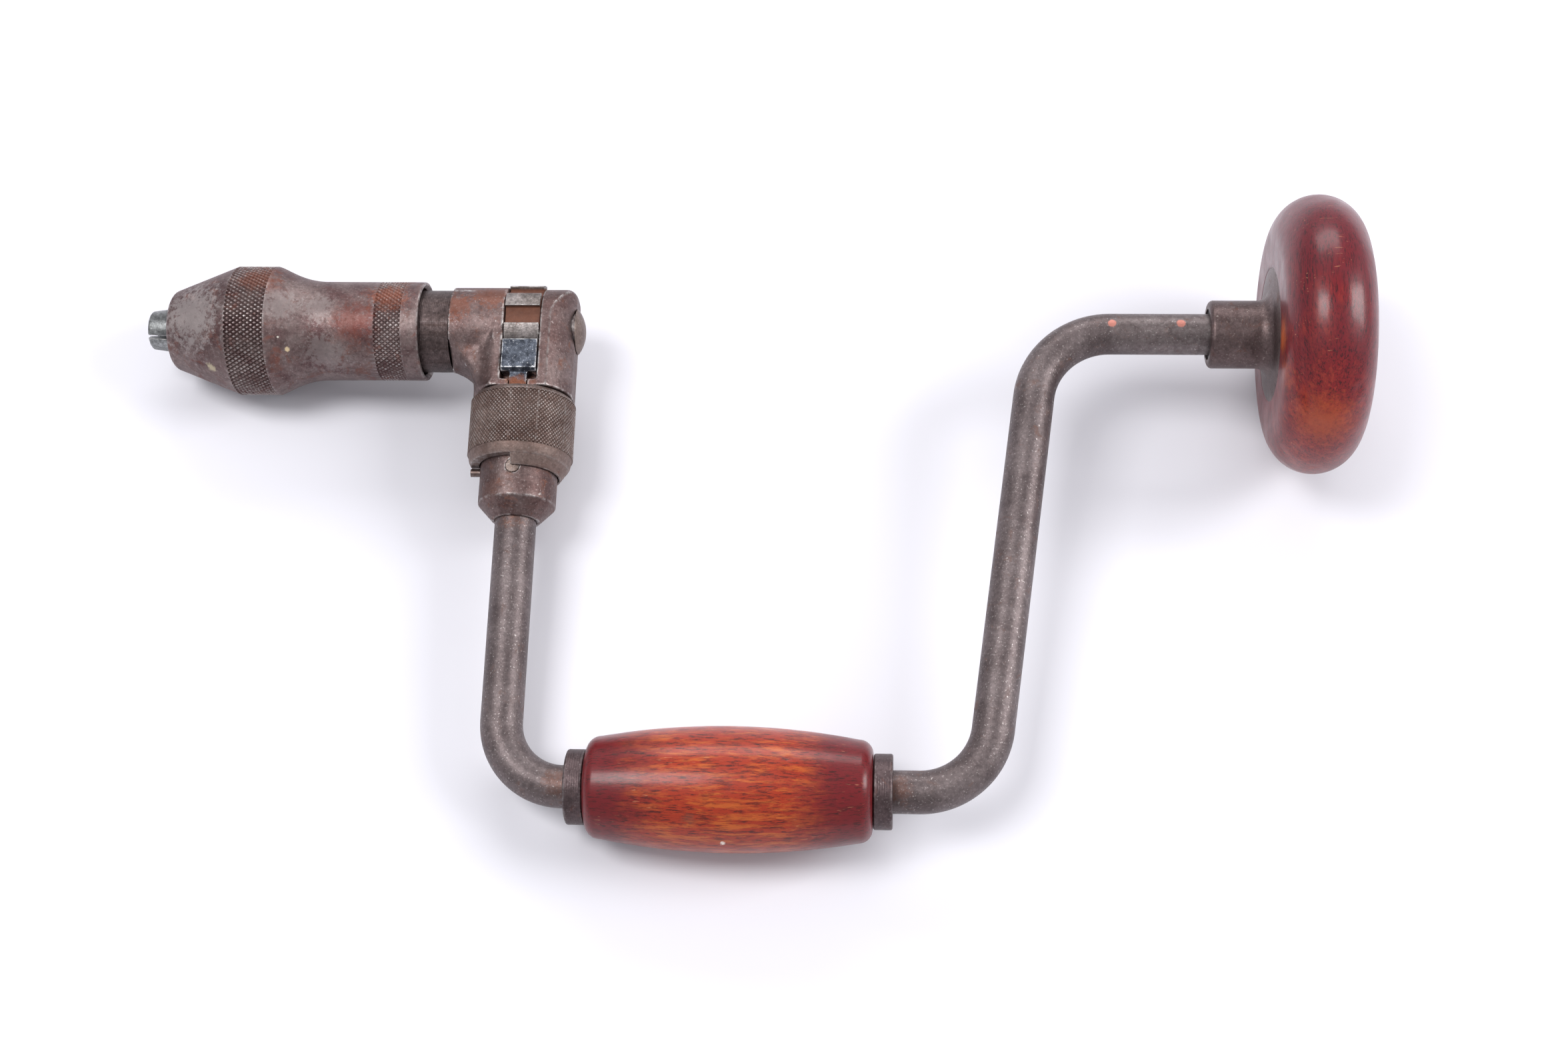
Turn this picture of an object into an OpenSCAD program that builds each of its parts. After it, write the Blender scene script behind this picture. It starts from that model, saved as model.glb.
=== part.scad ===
// Carpenter's ratchet bit brace with a two-jaw screw chuck.
// Origin: the centre of the jaw mouth. +X runs along the main axis from the chuck to the
// breast pad, the crank reaches towards -Y, and +Z is square to the plane of the crank.

/* [Crank] */
// Throw: distance from the main axis to the axis of the grip
throw = 127.4; // [110:0.2:180]
// Diameter of the bent steel rod
rod_d = 11.1; // [9:0.1:12]
// Distance from the jaw mouth to the axis of the front arm
arm_x = 105.7; // [104:0.1:130]
// Distance from the jaw mouth to where the rear arm would cross the main axis
rear_arm_x = 246.7; // [235:0.1:290]
// Lean of the rear arm, in degrees from square
rear_lean = 6.9; // [0:0.1:10]
// Centre-line radius of the bend below the front arm
front_bend_r = 17; // [12:0.5:22]
// Centre-line radius of the bend below the rear arm
rear_bend_r = 19; // [12:0.5:24]
// Centre-line radius of the bend at the pad
pad_bend_r = 21; // [14:0.5:26]

/* [Grip] */
// Length of the wooden grip
grip_l = 73.6; // [60:0.2:76]
// Largest diameter of the grip
grip_d = 32.4; // [28:0.2:40]
// Diameter at the shoulders of the grip
grip_end_d = 26.4; // [22:0.2:28]
// Radius of the rounded shoulders
grip_round = 3.6; // [2:0.2:4]
// Length of each steel ferrule
ferrule_l = 4.9; // [3:0.1:6]
// Diameter of each steel ferrule
ferrule_d = 19.4; // [16:0.1:22]

/* [Pad] */
// Distance from the jaw mouth to the front face of the pad
pad_x = 308.3; // [300:0.1:375]
// Diameter of the wooden pad
pad_d = 75.4; // [60:0.2:100]
// Thickness of the pad at its rim
pad_t = 23.6; // [20:0.2:32]
// Height of the dome on the palm side
pad_dome = 1.2; // [0:0.1:4]
// Diameter of the quill's neck
neck_d = 18.4; // [17.4:0.1:20]
// Length of the neck in front of the pad
neck_l = 16.8; // [16:0.1:30]
// Diameter of the quill's flange
flange_d = 36.1; // [30:0.1:40]

/* [Chuck] */
// Distance from the jaw mouth to the nose of the shell
nose_x = 6.7; // [5:0.1:8]
// Diameter of the shell at its nose
nose_d = 22.6; // [20:0.1:24]
// Diameter over the front knurl
shell_d = 35.6; // [34:0.1:40]
// Diameter of the shell's straight rear part
shell_rear_d = 27.2; // [26.4:0.1:30]
// Distance from the jaw mouth to the rear rim of the shell
shell_end_x = 77.4; // [76:0.1:79]
// Diameter of the shank that the mouth of the jaws clamps
clamp_d = 6.4; // [5:0.1:7]
// Length of the round mouth in the jaws
clamp_l = 13; // [10:0.5:15]
// Width of the slit between the closed jaws
jaw_slit = 0.9; // [0.6:0.1:1.4]
// Turn of the parting plane of the jaws about the main axis, in degrees
jaw_turn = 42.6; // [0:0.1:90]
// Diameter of the spindle where it shows behind the shell
spindle_d = 22.6; // [21:0.1:23]

/* [Ratchet] */
// Number of teeth on the ratchet wheel
teeth = 8; // [8]
// Diameter of the ratchet wheel
wheel_d = 25.4; // [24:0.1:25.8]
// Width of the ratchet wheel
wheel_w = 9.6; // [8:0.1:10]
// Depth of the gaps between the teeth
tooth_depth = 1.8; // [1.4:0.1:2]
// Width of the gaps between the teeth
tooth_gap = 5.1; // [5:0.05:5.3]
// Stroke of each pawl from clear of the teeth to fully engaged
pawl_stroke = 1.8; // [1:0.1:1.8]

/* [Head] */
// Diameter of the front boss
boss_d = 24.2; // [23.6:0.1:26]
// Distance from the jaw mouth to the face of the front boss
boss_x = 85.5; // [84:0.1:88]
// Thickness across the flats of the head
head_t = 23.2; // [22.8:0.1:24]
// Distance from the arm axis to the rear face of the head
lug_out = 13.5; // [12.5:0.1:14]
// Diameter of the head below the bosses
block_d = 27.8; // [27:0.1:29]
// Diameter of the collar that holds the rod
collar_d = 20.9; // [19:0.1:21]

/* [Cam ring] */
// Distance from the main axis to the top of the cam ring
ring_top = 20.8; // [20.6:0.1:22]
// Diameter over the knurl of the cam ring
ring_d = 28.5; // [27.6:0.1:31]
// Length of the knurled band
knurl_l = 15.2; // [12:0.1:16]

/* [Fits] */
// Radial clearance of running fits
run_fit = 0.05; // [0.02:0.01:0.1]
// Gap between faces that pass each other
gap = 0.15; // [0.1:0.01:0.25]
// Radial clearance of the rod in its socket
seat_fit = 0.02; // [0.01:0.01:0.05]

/* [Hidden] */

round_fn = 96;
small_fn = 48;
steel = "#645956";
dark_steel = "#4c4441";
bright_steel = "#b8b4b0";
blue_steel = "#3f444c";
rod_steel = "#5e5753";
lacquer = "#9c3a26";
bearing_steel = "#c4c6c8";

rod_r = rod_d / 2;
bend_lap = 2;

// Head, measured from the main axis
slot_w = wheel_w + 2 * gap;
slot_x0 = arm_x - slot_w / 2;
slot_x1 = arm_x + slot_w / 2;
lug_x1 = arm_x + lug_out;
wheel_r = wheel_d / 2;
wheel_room = wheel_r + 0.35;
head_half = head_t / 2;
block_end = ring_top - 0.3;
pocket_floor = block_end - 1.9;
pawl_in = wheel_r - 4.6;
pawl_out = wheel_r - 0.3;
pawl_bottom = pocket_floor - pawl_stroke - 0.3;
pawl_w = slot_w - 2 * gap;
tail_w = 4.8;
tail_out = pawl_out - 1;
tail_end = 27;
groove_end = 35;
lug_round = 2.7;
fillet_r = 5;

// Cam ring and collar, measured from the main axis
stem_r = 11.95;
ring_bore_r = stem_r + run_fit;
ring_r = ring_d / 2;
ring_chamfer = 1.4;
band_top = ring_top + ring_chamfer + knurl_l;
band_l = 2;
band_r = ring_r - 0.65;
ring_foot = band_top + 2.9;
skirt_end = ring_foot + 2.7;
skirt_r = 11.3;
stem_end = ring_foot - 2.2;
collar_r = collar_d / 2;
skirt_bore_r = collar_r + 0.35;
skirt_shift = 1.8;
stop_pin_r = 1.1;
stop_pin_y = ring_foot + stop_pin_r + 0.25;
stop_pin_reach = 13.1;
stem_pin_r = 1.8;
stem_pin_y = skirt_end + 0.1;
collar_end = skirt_end + 8.1;
cone_end = collar_end + 4.5;
cone_r = rod_r + 0.8;
socket_top = 25;
detent_y = 31;
detent_r = 1.2;
detent_x = stem_r - detent_r - run_fit;
ring_travel = 80;

// Spindle along the main axis
neck_r = spindle_d / 2;
journal_r = 7;
seat_r = 6;
rear_journal_r = 5.5;
thread_r = neck_r + 0.55;
shell_bore_r = thread_r + gap;
boss_face_x = boss_x - 0.2;
prong_x = 22.5;
prong_end = 40;
thread_x0 = 44;
thread_x1 = 62;
thread_pitch = 2;
prong_slot = 11.6;
key_w = 3;
key_l = 8.6;
screw_head_r = 6.55;
screw_head_h = 2.3;
screw_r = 2.5;
screw_l = 14;

// Jaws
tip_r = 5.3;
collar_jaw_r = 6.15;
cone_slope = tan(19.4);
jaw_clear = 0.35;
jaw_cone_x1 = 21.5;
jaw_cone_r = collar_jaw_r + 0.05;
jaw_seat_r = neck_r - 0.91;
jaw_cone_x0 = jaw_cone_x1 - (jaw_seat_r - jaw_cone_r) / cone_slope;
nose_bore_r = collar_jaw_r + 2.15;
jaw_back = 38;
jaw_tail_w = prong_slot - 2 * gap;
jaw_tail_r = neck_r - 2;
taper_square = 8.6;
taper_l = 11;
jaw_spring_x = 34;

// Shell
shell_r = shell_d / 2;
shell_rear_r = shell_rear_d / 2;
knurl_x0 = 25.2;
knurl_x1 = 35.9;
waist_x = 50;
waist_r = shell_rear_r + 0.05;
guide_x0 = 27.4;
guide_l = 4;
guide_r = 14.6;
nose_round = 2.2;

// Crank path
bend2_x = rear_arm_x + (rear_bend_r - throw) * tan(rear_lean) - rear_bend_r / cos(rear_lean);
bend3_x = rear_arm_x - pad_bend_r * tan(rear_lean) + pad_bend_r / cos(rear_lean);
rear_sweep = 90 - rear_lean;

// Grip, centred between the two bottom bends
grip_mid = arm_x + front_bend_r + 1.3 + ferrule_l + gap + grip_l / 2;
grip_x0 = grip_mid - grip_l / 2;
grip_x1 = grip_mid + grip_l / 2;
grip_r = grip_d / 2;
grip_end_r = grip_end_d / 2;
ferrule_r = ferrule_d / 2;

// Quill and its thrust bearing
quill_x0 = pad_x - neck_l;
quill_r = neck_d / 2;
flange_r = flange_d / 2;
flange_t = 3;
quill_bore_r = rod_r + 1.35;
neck_fillet = 3.4;
pivot_r = rod_r - 1.55;
rod_shoulder_x = pad_x - 5.3;
race_t = 0.8;
ball_r = 1.2;
ball_pitch_r = (pivot_r + quill_bore_r) / 2;
ball_count = floor(2 * PI * ball_pitch_r / (2 * ball_r + 0.25));
web_t = 4;
nut_t = 4.5;
nut_af = 2 * pivot_r + 3;
boss_r = 9.6;
cavity_r = 7.4;
boss_end = pad_x + 13.6;
race_rear_x = rod_shoulder_x + race_t + 2 * ball_r + 2 * run_fit;
web_x0 = race_rear_x + race_t + run_fit;
nut_x0 = web_x0 + web_t + run_fit;
pivot_end = nut_x0 + nut_t + 1.5;
pad_r = pad_d / 2;

// A straight round bar along +X
module bar_x(x0, x1, r, fn = round_fn)
    translate([x0, 0, 0]) rotate([0, 90, 0]) cylinder(h = x1 - x0, r = r, $fn = fn);

// A round bar along the arm axis between two distances from the main axis
module bar_arm(y0, y1, r, fn = round_fn)
    translate([arm_x, -y0, 0]) rotate([90, 0, 0]) cylinder(h = y1 - y0, r = r, $fn = fn);

// A profile of [distance along X, radius] points turned about the main axis
module turned_x(fn = round_fn)
    rotate([0, 90, 0]) rotate([0, 0, 90]) rotate_extrude($fn = fn) children();

// A profile of [radius, distance from the main axis] points turned about the arm axis
module turned_arm(fn = round_fn)
    translate([arm_x, 0, 0]) rotate([90, 0, 0]) rotate_extrude($fn = fn) children();

// Points of an arc about a centre, from one angle to another
function arc(cx, cy, r, a0, a1, n = 8) =
    [for (i = [0:n]) [cx + r * cos(a0 + (a1 - a0) * i / n), cy + r * sin(a0 + (a1 - a0) * i / n)]];

// [along X, radius] points turned into the [radius, height] of a turned profile
function flip(points) = [for (p = points) [p[1], p[0]]];

// A box given by its lowest and highest corners
module block(low, high)
    translate(low) cube(high - low);

// A small coil spring along +Z, standing on the origin
module coil(length, radius, wire, turns)
    linear_extrude(height = length, twist = -360 * turns, slices = turns * 12)
        translate([radius, 0]) circle(r = wire, $fn = 8);

// The head before it is slotted: front boss, rear lug, block below and the rod's collar
module head_blank() {
    bar_x(boss_x, slot_x0 + 1, boss_d / 2);
    intersection() {
        bar_arm(-boss_d / 2, block_end, block_d / 2);
        union() {
            turned_x() polygon(flip(concat([[arm_x - lug_out, 0]],
                [[arm_x - lug_out, head_half]],
                arc(lug_x1 - lug_round, head_half - lug_round, lug_round, 90, 0),
                [[lug_x1, 0]])));
            block([arm_x - lug_out - 2, -block_end, -head_half], [lug_x1, 0, head_half]);
        }
    }
    intersection() {
        bar_arm(0, block_end, arm_x - boss_x - 1.5);
        translate([0, 0, -head_half + 2.6]) linear_extrude(height = 2 * head_half - 5.2) difference() {
            translate([arm_x - lug_out - fillet_r, -boss_d / 2 - fillet_r])
                square([fillet_r + 3, fillet_r + 3]);
            translate([arm_x - lug_out - fillet_r, -boss_d / 2 - fillet_r])
                circle(r = fillet_r, $fn = small_fn);
        }
    }
    bar_arm(block_end - 1, stem_end, stem_r);
    turned_arm() polygon([[0, stem_end - 1], [collar_r, stem_end - 1], [collar_r, collar_end],
        [cone_r, cone_end], [0, cone_end]]);
}

// Forged head: two lugs round the ratchet wheel, the stem of the cam ring and the rod socket
module head_fork() color(steel) difference() {
    head_blank();
    bar_x(slot_x0, slot_x1, wheel_room);
    block([slot_x0, 0, -head_t], [slot_x1, boss_d, head_t]);
    for (side = [0, 1]) mirror([0, 0, side]) {
        block([slot_x0, -pocket_floor, pawl_in - gap], [slot_x1, 1, head_t]);
        block([arm_x - tail_w / 2 - gap, -groove_end, pawl_in + gap],
            [arm_x + tail_w / 2 + gap, -pocket_floor + 1, head_t]);
    }
    bar_x(boss_x - 1, slot_x0 + 1, journal_r + run_fit);
    bar_x(slot_x1 - 1, lug_x1 + 1, rear_journal_r + run_fit);
    bar_arm(socket_top, cone_end + 1, rod_r + seat_fit);
    translate([arm_x, -stem_pin_y, -collar_r - 1]) cylinder(h = 2 * collar_r + 2, r = stem_pin_r, $fn = small_fn);
    translate([arm_x - collar_r - 1, -stop_pin_y, 0]) rotate([0, 90, 0])
        cylinder(h = collar_r - rod_r - 0.2, r = stop_pin_r, $fn = small_fn);
    translate([arm_x + detent_x - 4.6, -detent_y, 0]) rotate([0, 90, 0])
        cylinder(h = 8, r = detent_r + run_fit, $fn = small_fn);
}

// One bend of the rod in the plane of the crank
module bend(x, y, r, start, sweep)
    translate([x, y, 0]) rotate([0, 0, start - bend_lap]) rotate_extrude(angle = sweep + 2 * bend_lap, $fn = round_fn)
        translate([r, 0]) circle(r = rod_r - 0.03, $fn = small_fn);

// Crank: one rod with three bends, seated in the head and turned down for the quill
module crank_rod() color(rod_steel) difference() {
    union() {
        bar_arm(socket_top + 1, throw - front_bend_r, rod_r);
        bend(arm_x + front_bend_r, front_bend_r - throw, front_bend_r, 180, 90);
        translate([0, -throw, 0]) bar_x(arm_x + front_bend_r, bend2_x, rod_r);
        bend(bend2_x, rear_bend_r - throw, rear_bend_r, 270, rear_sweep);
        translate([bend2_x + rear_bend_r * cos(rear_lean),
            rear_bend_r - throw - rear_bend_r * sin(rear_lean), 0])
            rotate([-90, 0, -rear_lean]) cylinder(h = rear_arm_l(), r = rod_r, $fn = round_fn);
        bend(bend3_x, -pad_bend_r, pad_bend_r, 90, rear_sweep);
        bar_x(bend3_x, rod_shoulder_x, rod_r);
        bar_x(rod_shoulder_x - 1, pivot_end, pivot_r, small_fn);
    }
    translate([arm_x, -stem_pin_y, -collar_r - 1]) cylinder(h = 2 * collar_r + 2, r = stem_pin_r, $fn = small_fn);
}

// Straight length of the rear arm between its two bends
function rear_arm_l() =
    (throw - rear_bend_r - pad_bend_r + (rear_bend_r + pad_bend_r) * sin(rear_lean)) / cos(rear_lean);

// Flush cross pin that locks the rod in its socket
module stem_pin() color(dark_steel) intersection() {
    translate([arm_x, -stem_pin_y, -collar_r]) cylinder(h = 2 * collar_r, r = stem_pin_r - seat_fit, $fn = small_fn);
    bar_arm(stem_pin_y - 4, stem_pin_y + 4, collar_r);
}

// Small pin that stops the skirt of the cam ring
module stop_pin() color(bright_steel)
    translate([arm_x - stop_pin_reach, -stop_pin_y, 0]) rotate([0, 90, 0])
        cylinder(h = stop_pin_reach - rod_r - 1.3, r = stop_pin_r - seat_fit, $fn = small_fn);

// Steel ferrule on the rod at one end of the grip, with a small chamfer on its outer edge
module ferrule(x0, outer_first) color(dark_steel) translate([0, -throw, 0]) difference() {
    turned_x() polygon(flip([[x0, 0], [x0, ferrule_r - (outer_first ? 0.5 : 0)],
        [x0 + 0.5, ferrule_r], [x0 + ferrule_l - 0.5, ferrule_r],
        [x0 + ferrule_l, ferrule_r - (outer_first ? 0 : 0.5)], [x0 + ferrule_l, 0]]));
    bar_x(x0 - 1, x0 + ferrule_l + 1, rod_r + seat_fit);
}
module ferrule_front() ferrule(grip_x0 - gap - ferrule_l, true);
module ferrule_rear() ferrule(grip_x1 + gap, false);

// Felt washer that closes the mouth of the quill
module dust_washer() color("#2b2624") difference() {
    bar_x(quill_x0 + 0.4, quill_x0 + 2, quill_bore_r - run_fit);
    bar_x(quill_x0, quill_x0 + 3, rod_r + seat_fit);
}

// A hardened washer of the thrust bearing
module race(x0, bore) color(bearing_steel) difference() {
    bar_x(x0, x0 + race_t, quill_bore_r - run_fit);
    bar_x(x0 - 1, x0 + race_t + 1, bore);
}
module thrust_race_front() race(rod_shoulder_x, pivot_r + seat_fit);
module thrust_race_rear() race(race_rear_x + run_fit, pivot_r + 2 * run_fit);

// Hexagon nut that keeps the quill on the rod
module retaining_nut() color(dark_steel) difference() {
    translate([nut_x0 + run_fit, 0, 0]) rotate([0, 90, 0])
        cylinder(h = nut_t, r = nut_af / sqrt(3), $fn = 6);
    bar_x(nut_x0 - 1, nut_x0 + nut_t + 2, pivot_r + seat_fit, small_fn);
}

// Ball and spring that click the cam ring into place
module detent_ball() color(bearing_steel)
    translate([arm_x + detent_x, -detent_y, 0]) sphere(r = detent_r, $fn = small_fn);
module detent_spring() color(dark_steel)
    translate([arm_x + detent_x - 4.5, -detent_y, 0]) rotate([0, 90, 0]) coil(3.3, 0.75, 0.22, 5);

// Springs under the tails of the pawls
module pawl_spring() color(dark_steel)
    translate([arm_x, -groove_end, (pawl_in + tail_out) / 2 + 0.2]) rotate([-90, 0, 0])
        coil(groove_end - tail_end - 0.05, 0.95, 0.28, 7);
module pawl_spring_front() pawl_spring();
module pawl_spring_back() mirror([0, 0, 1]) pawl_spring();

// Turned spindle: slotted front for the jaws, thread for the shell, journals and wheel seat
module chuck_spindle() color(dark_steel) difference() {
    union() {
        bar_x(prong_x, thread_x0, neck_r);
        bar_x(thread_x0, boss_face_x, neck_r);
        for (x = [thread_x0 : thread_pitch : thread_x1])
            bar_x(x, x + thread_pitch / 2, thread_r);
        bar_x(boss_face_x - 1, arm_x - wheel_w / 2, journal_r);
        bar_x(arm_x - wheel_w / 2 - 1, arm_x + wheel_w / 2, seat_r);
        bar_x(arm_x + wheel_w / 2 - 1, lug_x1, rear_journal_r);
    }
    rotate([jaw_turn, 0, 0]) {
        block([prong_x - 1, -thread_r - 1, -prong_slot / 2], [prong_end, thread_r + 1, prong_slot / 2]);
        bar_x(prong_x - 1, jaw_cone_x1 + 3, jaw_tail_r + 0.2);
    }
    bar_x(lug_x1 - screw_l, lug_x1 + 1, screw_r + seat_fit, small_fn);
    block([arm_x - key_l / 2, seat_r - 1.5, -key_w / 2], [arm_x + wheel_w / 2, seat_r + 1, key_w / 2]);
}

// Ratchet wheel with square teeth, keyed to the spindle
module ratchet_wheel() color(steel) difference() {
    bar_x(arm_x - wheel_w / 2, arm_x + wheel_w / 2, wheel_r);
    for (i = [0 : teeth - 1]) rotate([i * 360 / teeth, 0, 0])
        block([arm_x - wheel_w, -tooth_gap / 2, wheel_r - tooth_depth], [arm_x + wheel_w, tooth_gap / 2, wheel_r + 2]);
    bar_x(arm_x - wheel_w, arm_x + wheel_w, seat_r + seat_fit);
    block([arm_x - wheel_w, 0, -key_w / 2 - seat_fit], [arm_x + wheel_w, seat_r + 1.6, key_w / 2 + seat_fit]);
}

// Key between the wheel and the spindle
module wheel_key() color(bright_steel)
    block([arm_x - key_l / 2 + 0.02, seat_r - 1.48, -key_w / 2 + 0.02],
        [arm_x + wheel_w / 2 - 0.02, seat_r + 1.5, key_w / 2 - 0.02]);

// Round-headed screw that holds the spindle in the head
module end_screw() color(steel) {
    turned_x() polygon(flip(concat([[lug_x1 + run_fit, 0], [lug_x1 + run_fit, screw_head_r]],
        arc(lug_x1 + run_fit + screw_head_h - screw_dome_r(), 0, screw_dome_r(),
            asin(screw_head_r / screw_dome_r()), 0, 10))));
    bar_x(lug_x1 - screw_l + 0.5, lug_x1 + 0.5, screw_r, small_fn);
}
function screw_dome_r() = (screw_head_r * screw_head_r + screw_head_h * screw_head_h) / (2 * screw_head_h);

// One jaw: half a stepped cone with a flat tail, a round mouth and a square taper behind it
module jaw() difference() {
    intersection() {
        union() {
            turned_x() polygon(flip([[0, 0], [0, tip_r - 0.4], [0.4, tip_r],
                [nose_x, collar_jaw_r], [jaw_cone_x0, jaw_cone_r], [jaw_cone_x1, jaw_seat_r], [jaw_cone_x1, 0]]));
            intersection() {
                block([jaw_cone_x1 - 1, 0, -jaw_tail_w / 2], [jaw_back, jaw_tail_r, jaw_tail_w / 2]);
                bar_x(jaw_cone_x1 - 1, jaw_back, jaw_tail_r);
            }
        }
        block([-1, jaw_slit / 2, -20], [jaw_back, 20, 20]);
    }
    bar_x(-1, clamp_l, clamp_d / 2, small_fn);
    intersection() {
        rotate([45, 0, 0]) block([clamp_l - 1, -taper_square / 2, -taper_square / 2],
            [clamp_l + taper_l, taper_square / 2, taper_square / 2]);
        bar_x(clamp_l - 1, clamp_l + taper_l, taper_square / 2 + 0.6, small_fn);
    }
    translate([jaw_spring_x, 0, 0]) rotate([-90, 0, 0]) cylinder(h = 5.5, r = 1.8, $fn = small_fn);
}
module jaw_upper() color(bright_steel) rotate([jaw_turn, 0, 0]) jaw();
module jaw_lower() color(bright_steel) rotate([jaw_turn, 0, 0]) mirror([0, 1, 0]) jaw();

// Spring that opens the jaws
module jaw_spring() color(dark_steel) rotate([jaw_turn, 0, 0])
    translate([jaw_spring_x, -4.9, 0]) rotate([-90, 0, 0]) coil(9.8, 1.1, 0.3, 7);

// Hardened ring inside the shell that travels along the spindle
module guide_ring() color(bright_steel) difference() {
    bar_x(guide_x0, guide_x0 + guide_l, guide_r);
    bar_x(guide_x0 - 1, guide_x0 + guide_l + 1, neck_r + run_fit);
}

// Outer profile of the shell: nose, cone, knurl, curved waist, straight rear
function shell_outline() = concat(
    arc(nose_x + nose_round, nose_d / 2 - nose_round, nose_round, 180, 109.4, 5),
    [[knurl_x0, shell_r], [knurl_x1, shell_r]],
    [for (i = [1:10]) [knurl_x1 + (waist_x - knurl_x1) * i / 10,
        waist_r + (shell_r - waist_r) * (1 + cos(180 * pow(i / 10, 0.62))) / 2]],
    [[shell_end_x - 0.3, shell_rear_r], [shell_end_x, shell_rear_r - 0.3]]);

// Knurled shell that closes the jaws as it is screwed back along the spindle
module chuck_shell() color(steel) difference() {
    turned_x() polygon(flip(concat([[nose_x, 0]], shell_outline(), [[shell_end_x, 0]])));
    turned_x() polygon(flip([[nose_x - 1, 0], [nose_x - 1, nose_bore_r],
        [jaw_cone_x1 - (jaw_seat_r + jaw_clear - nose_bore_r) / cone_slope, nose_bore_r],
        [jaw_cone_x1 - 0.5, jaw_seat_r + jaw_clear - 0.5 * cone_slope], [jaw_cone_x1 - 0.5, shell_bore_r],
        [shell_end_x + 1, shell_bore_r], [shell_end_x + 1, 0]]));
    bar_x(guide_x0 - gap, guide_x0 + guide_l + gap, guide_r + gap);
    turned_x() polygon(flip([[shell_end_x - 0.8, shell_bore_r - 0.2], [shell_end_x - 0.8, shell_bore_r],
        [shell_end_x + 0.2, shell_bore_r + 1], [shell_end_x + 0.2, shell_bore_r - 0.2]]));
}

// Knurled cam ring on the stem, with a skirt cut away over the half turn that faces the stop pin
module cam_ring() color(steel) difference() {
    turned_arm() polygon([[ring_bore_r, ring_top], [ring_r - 0.9, ring_top], [ring_r, ring_top + ring_chamfer],
        [ring_r, band_top], [ring_r - 0.25, band_top], [band_r, band_top + band_l],
        [skirt_r, skirt_end], [skirt_bore_r, skirt_end], [skirt_bore_r, stem_end + 0.3],
        [ring_bore_r, stem_end + 0.3]]);
    translate([arm_x, 0, 0]) rotate([0, -skirt_shift, 0])
        block([-ring_r - 1, -skirt_end - 1, -ring_r - 1], [0, -ring_foot, ring_r + 1]);
    for (turn = [-ring_travel, 0, ring_travel])
        translate([arm_x, -detent_y, 0]) rotate([0, turn, 0]) translate([ring_bore_r - 0.9, 0, 0])
            sphere(r = detent_r + 0.05, $fn = small_fn);
    bar_arm(ring_top + 3, ring_top + 7, ring_bore_r + 0.6);
}

// How far below the main axis a point at height z just clears the tips of the teeth
function tip_clear(z, clear) = sqrt(pow(wheel_r + clear, 2) - z * z);

// One pawl: a strut with a nose for the gap of the wheel and a tail down the groove of the stem
module pawl() {
    nose_z = pawl_in + 1.55;
    lip_z = pawl_out - 0.8;
    nose_top = -tip_clear(nose_z, gap);
    lip_top = -tip_clear(lip_z, 0.1) - pawl_stroke;
    translate([arm_x + pawl_w / 2, 0, 0]) rotate([0, -90, 0]) linear_extrude(height = pawl_w)
        polygon([[pawl_in, -pawl_bottom], [pawl_in, -tip_clear(pawl_in, gap)], [nose_z, nose_top],
            [lip_z, nose_top - (lip_z - nose_z)], [lip_z, lip_top], [pawl_out, lip_top],
            [pawl_out, 0.9 - pawl_bottom], [pawl_out - 0.9, -pawl_bottom]]);
    block([arm_x - tail_w / 2, -tail_end, pawl_in + 2 * gap], [arm_x + tail_w / 2, -pawl_bottom + 0.5, tail_out]);
}
module pawl_front() color(blue_steel) pawl();
module pawl_back() color(blue_steel) mirror([0, 0, 1]) pawl();

// Flanged quill that turns on the rod and carries the pad
module quill() color(dark_steel) difference() {
    turned_x() polygon(flip(concat([[quill_x0, 0]],
        arc(quill_x0 + 1.3, quill_r - 1.3, 1.3, 180, 90, 5),
        arc(pad_x - 0.35 - neck_fillet, quill_r + neck_fillet, neck_fillet, 270, 360, 7),
        [[pad_x, flange_r], [pad_x + flange_t, flange_r], [pad_x + flange_t, boss_r],
         [boss_end, boss_r], [boss_end, 0]])));
    bar_x(quill_x0 - 1, web_x0, quill_bore_r);
    bar_x(web_x0 - 1, nut_x0 + 1, pivot_r + run_fit, small_fn);
    bar_x(nut_x0, boss_end + 1, cavity_r);
}

// Loose balls of the thrust bearing
module bearing_balls() color(bearing_steel)
    for (i = [0 : ball_count - 1]) rotate([i * 360 / ball_count, 0, 0])
        translate([rod_shoulder_x + race_t + run_fit + ball_r, 0, ball_pitch_r])
            sphere(r = ball_r, $fn = 24);

// Turned wooden pad with a full round rim
module pad_wood() color(lacquer) difference() {
    rim_r = pad_t / 2;
    turned_x() polygon(flip(concat([[pad_x, 0]],
        arc(pad_x + rim_r, pad_r - rim_r, rim_r, 180, 0, 20),
        [[pad_x + pad_t + pad_dome * 0.75, (pad_r - rim_r) / 2], [pad_x + pad_t + pad_dome, 0]])));
    bar_x(pad_x - 1, pad_x + flange_t + 0.02, flange_r + seat_fit);
    bar_x(pad_x, boss_end + 1, boss_r + seat_fit);
}

// Barrel-shaped wooden grip that turns freely on the rod
module grip_wood() color(lacquer) translate([0, -throw, 0]) difference() {
    half = grip_l / 2 - grip_round;
    rise = grip_r - grip_end_r;
    swell = (half * half + rise * rise) / (2 * rise);
    lean = asin(half / swell);
    turned_x() polygon(flip(concat([[grip_x0, 0]],
        arc(grip_x0 + grip_round, grip_end_r - grip_round, grip_round, 180, 90 + lean, 6),
        arc(grip_mid, grip_r - swell, swell, 90 + lean, 90 - lean, 14),
        arc(grip_x1 - grip_round, grip_end_r - grip_round, grip_round, 90 - lean, 0, 6),
        [[grip_x1, 0]])));
    bar_x(grip_x0 - 1, grip_x1 + 1, rod_r + run_fit);
}

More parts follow.
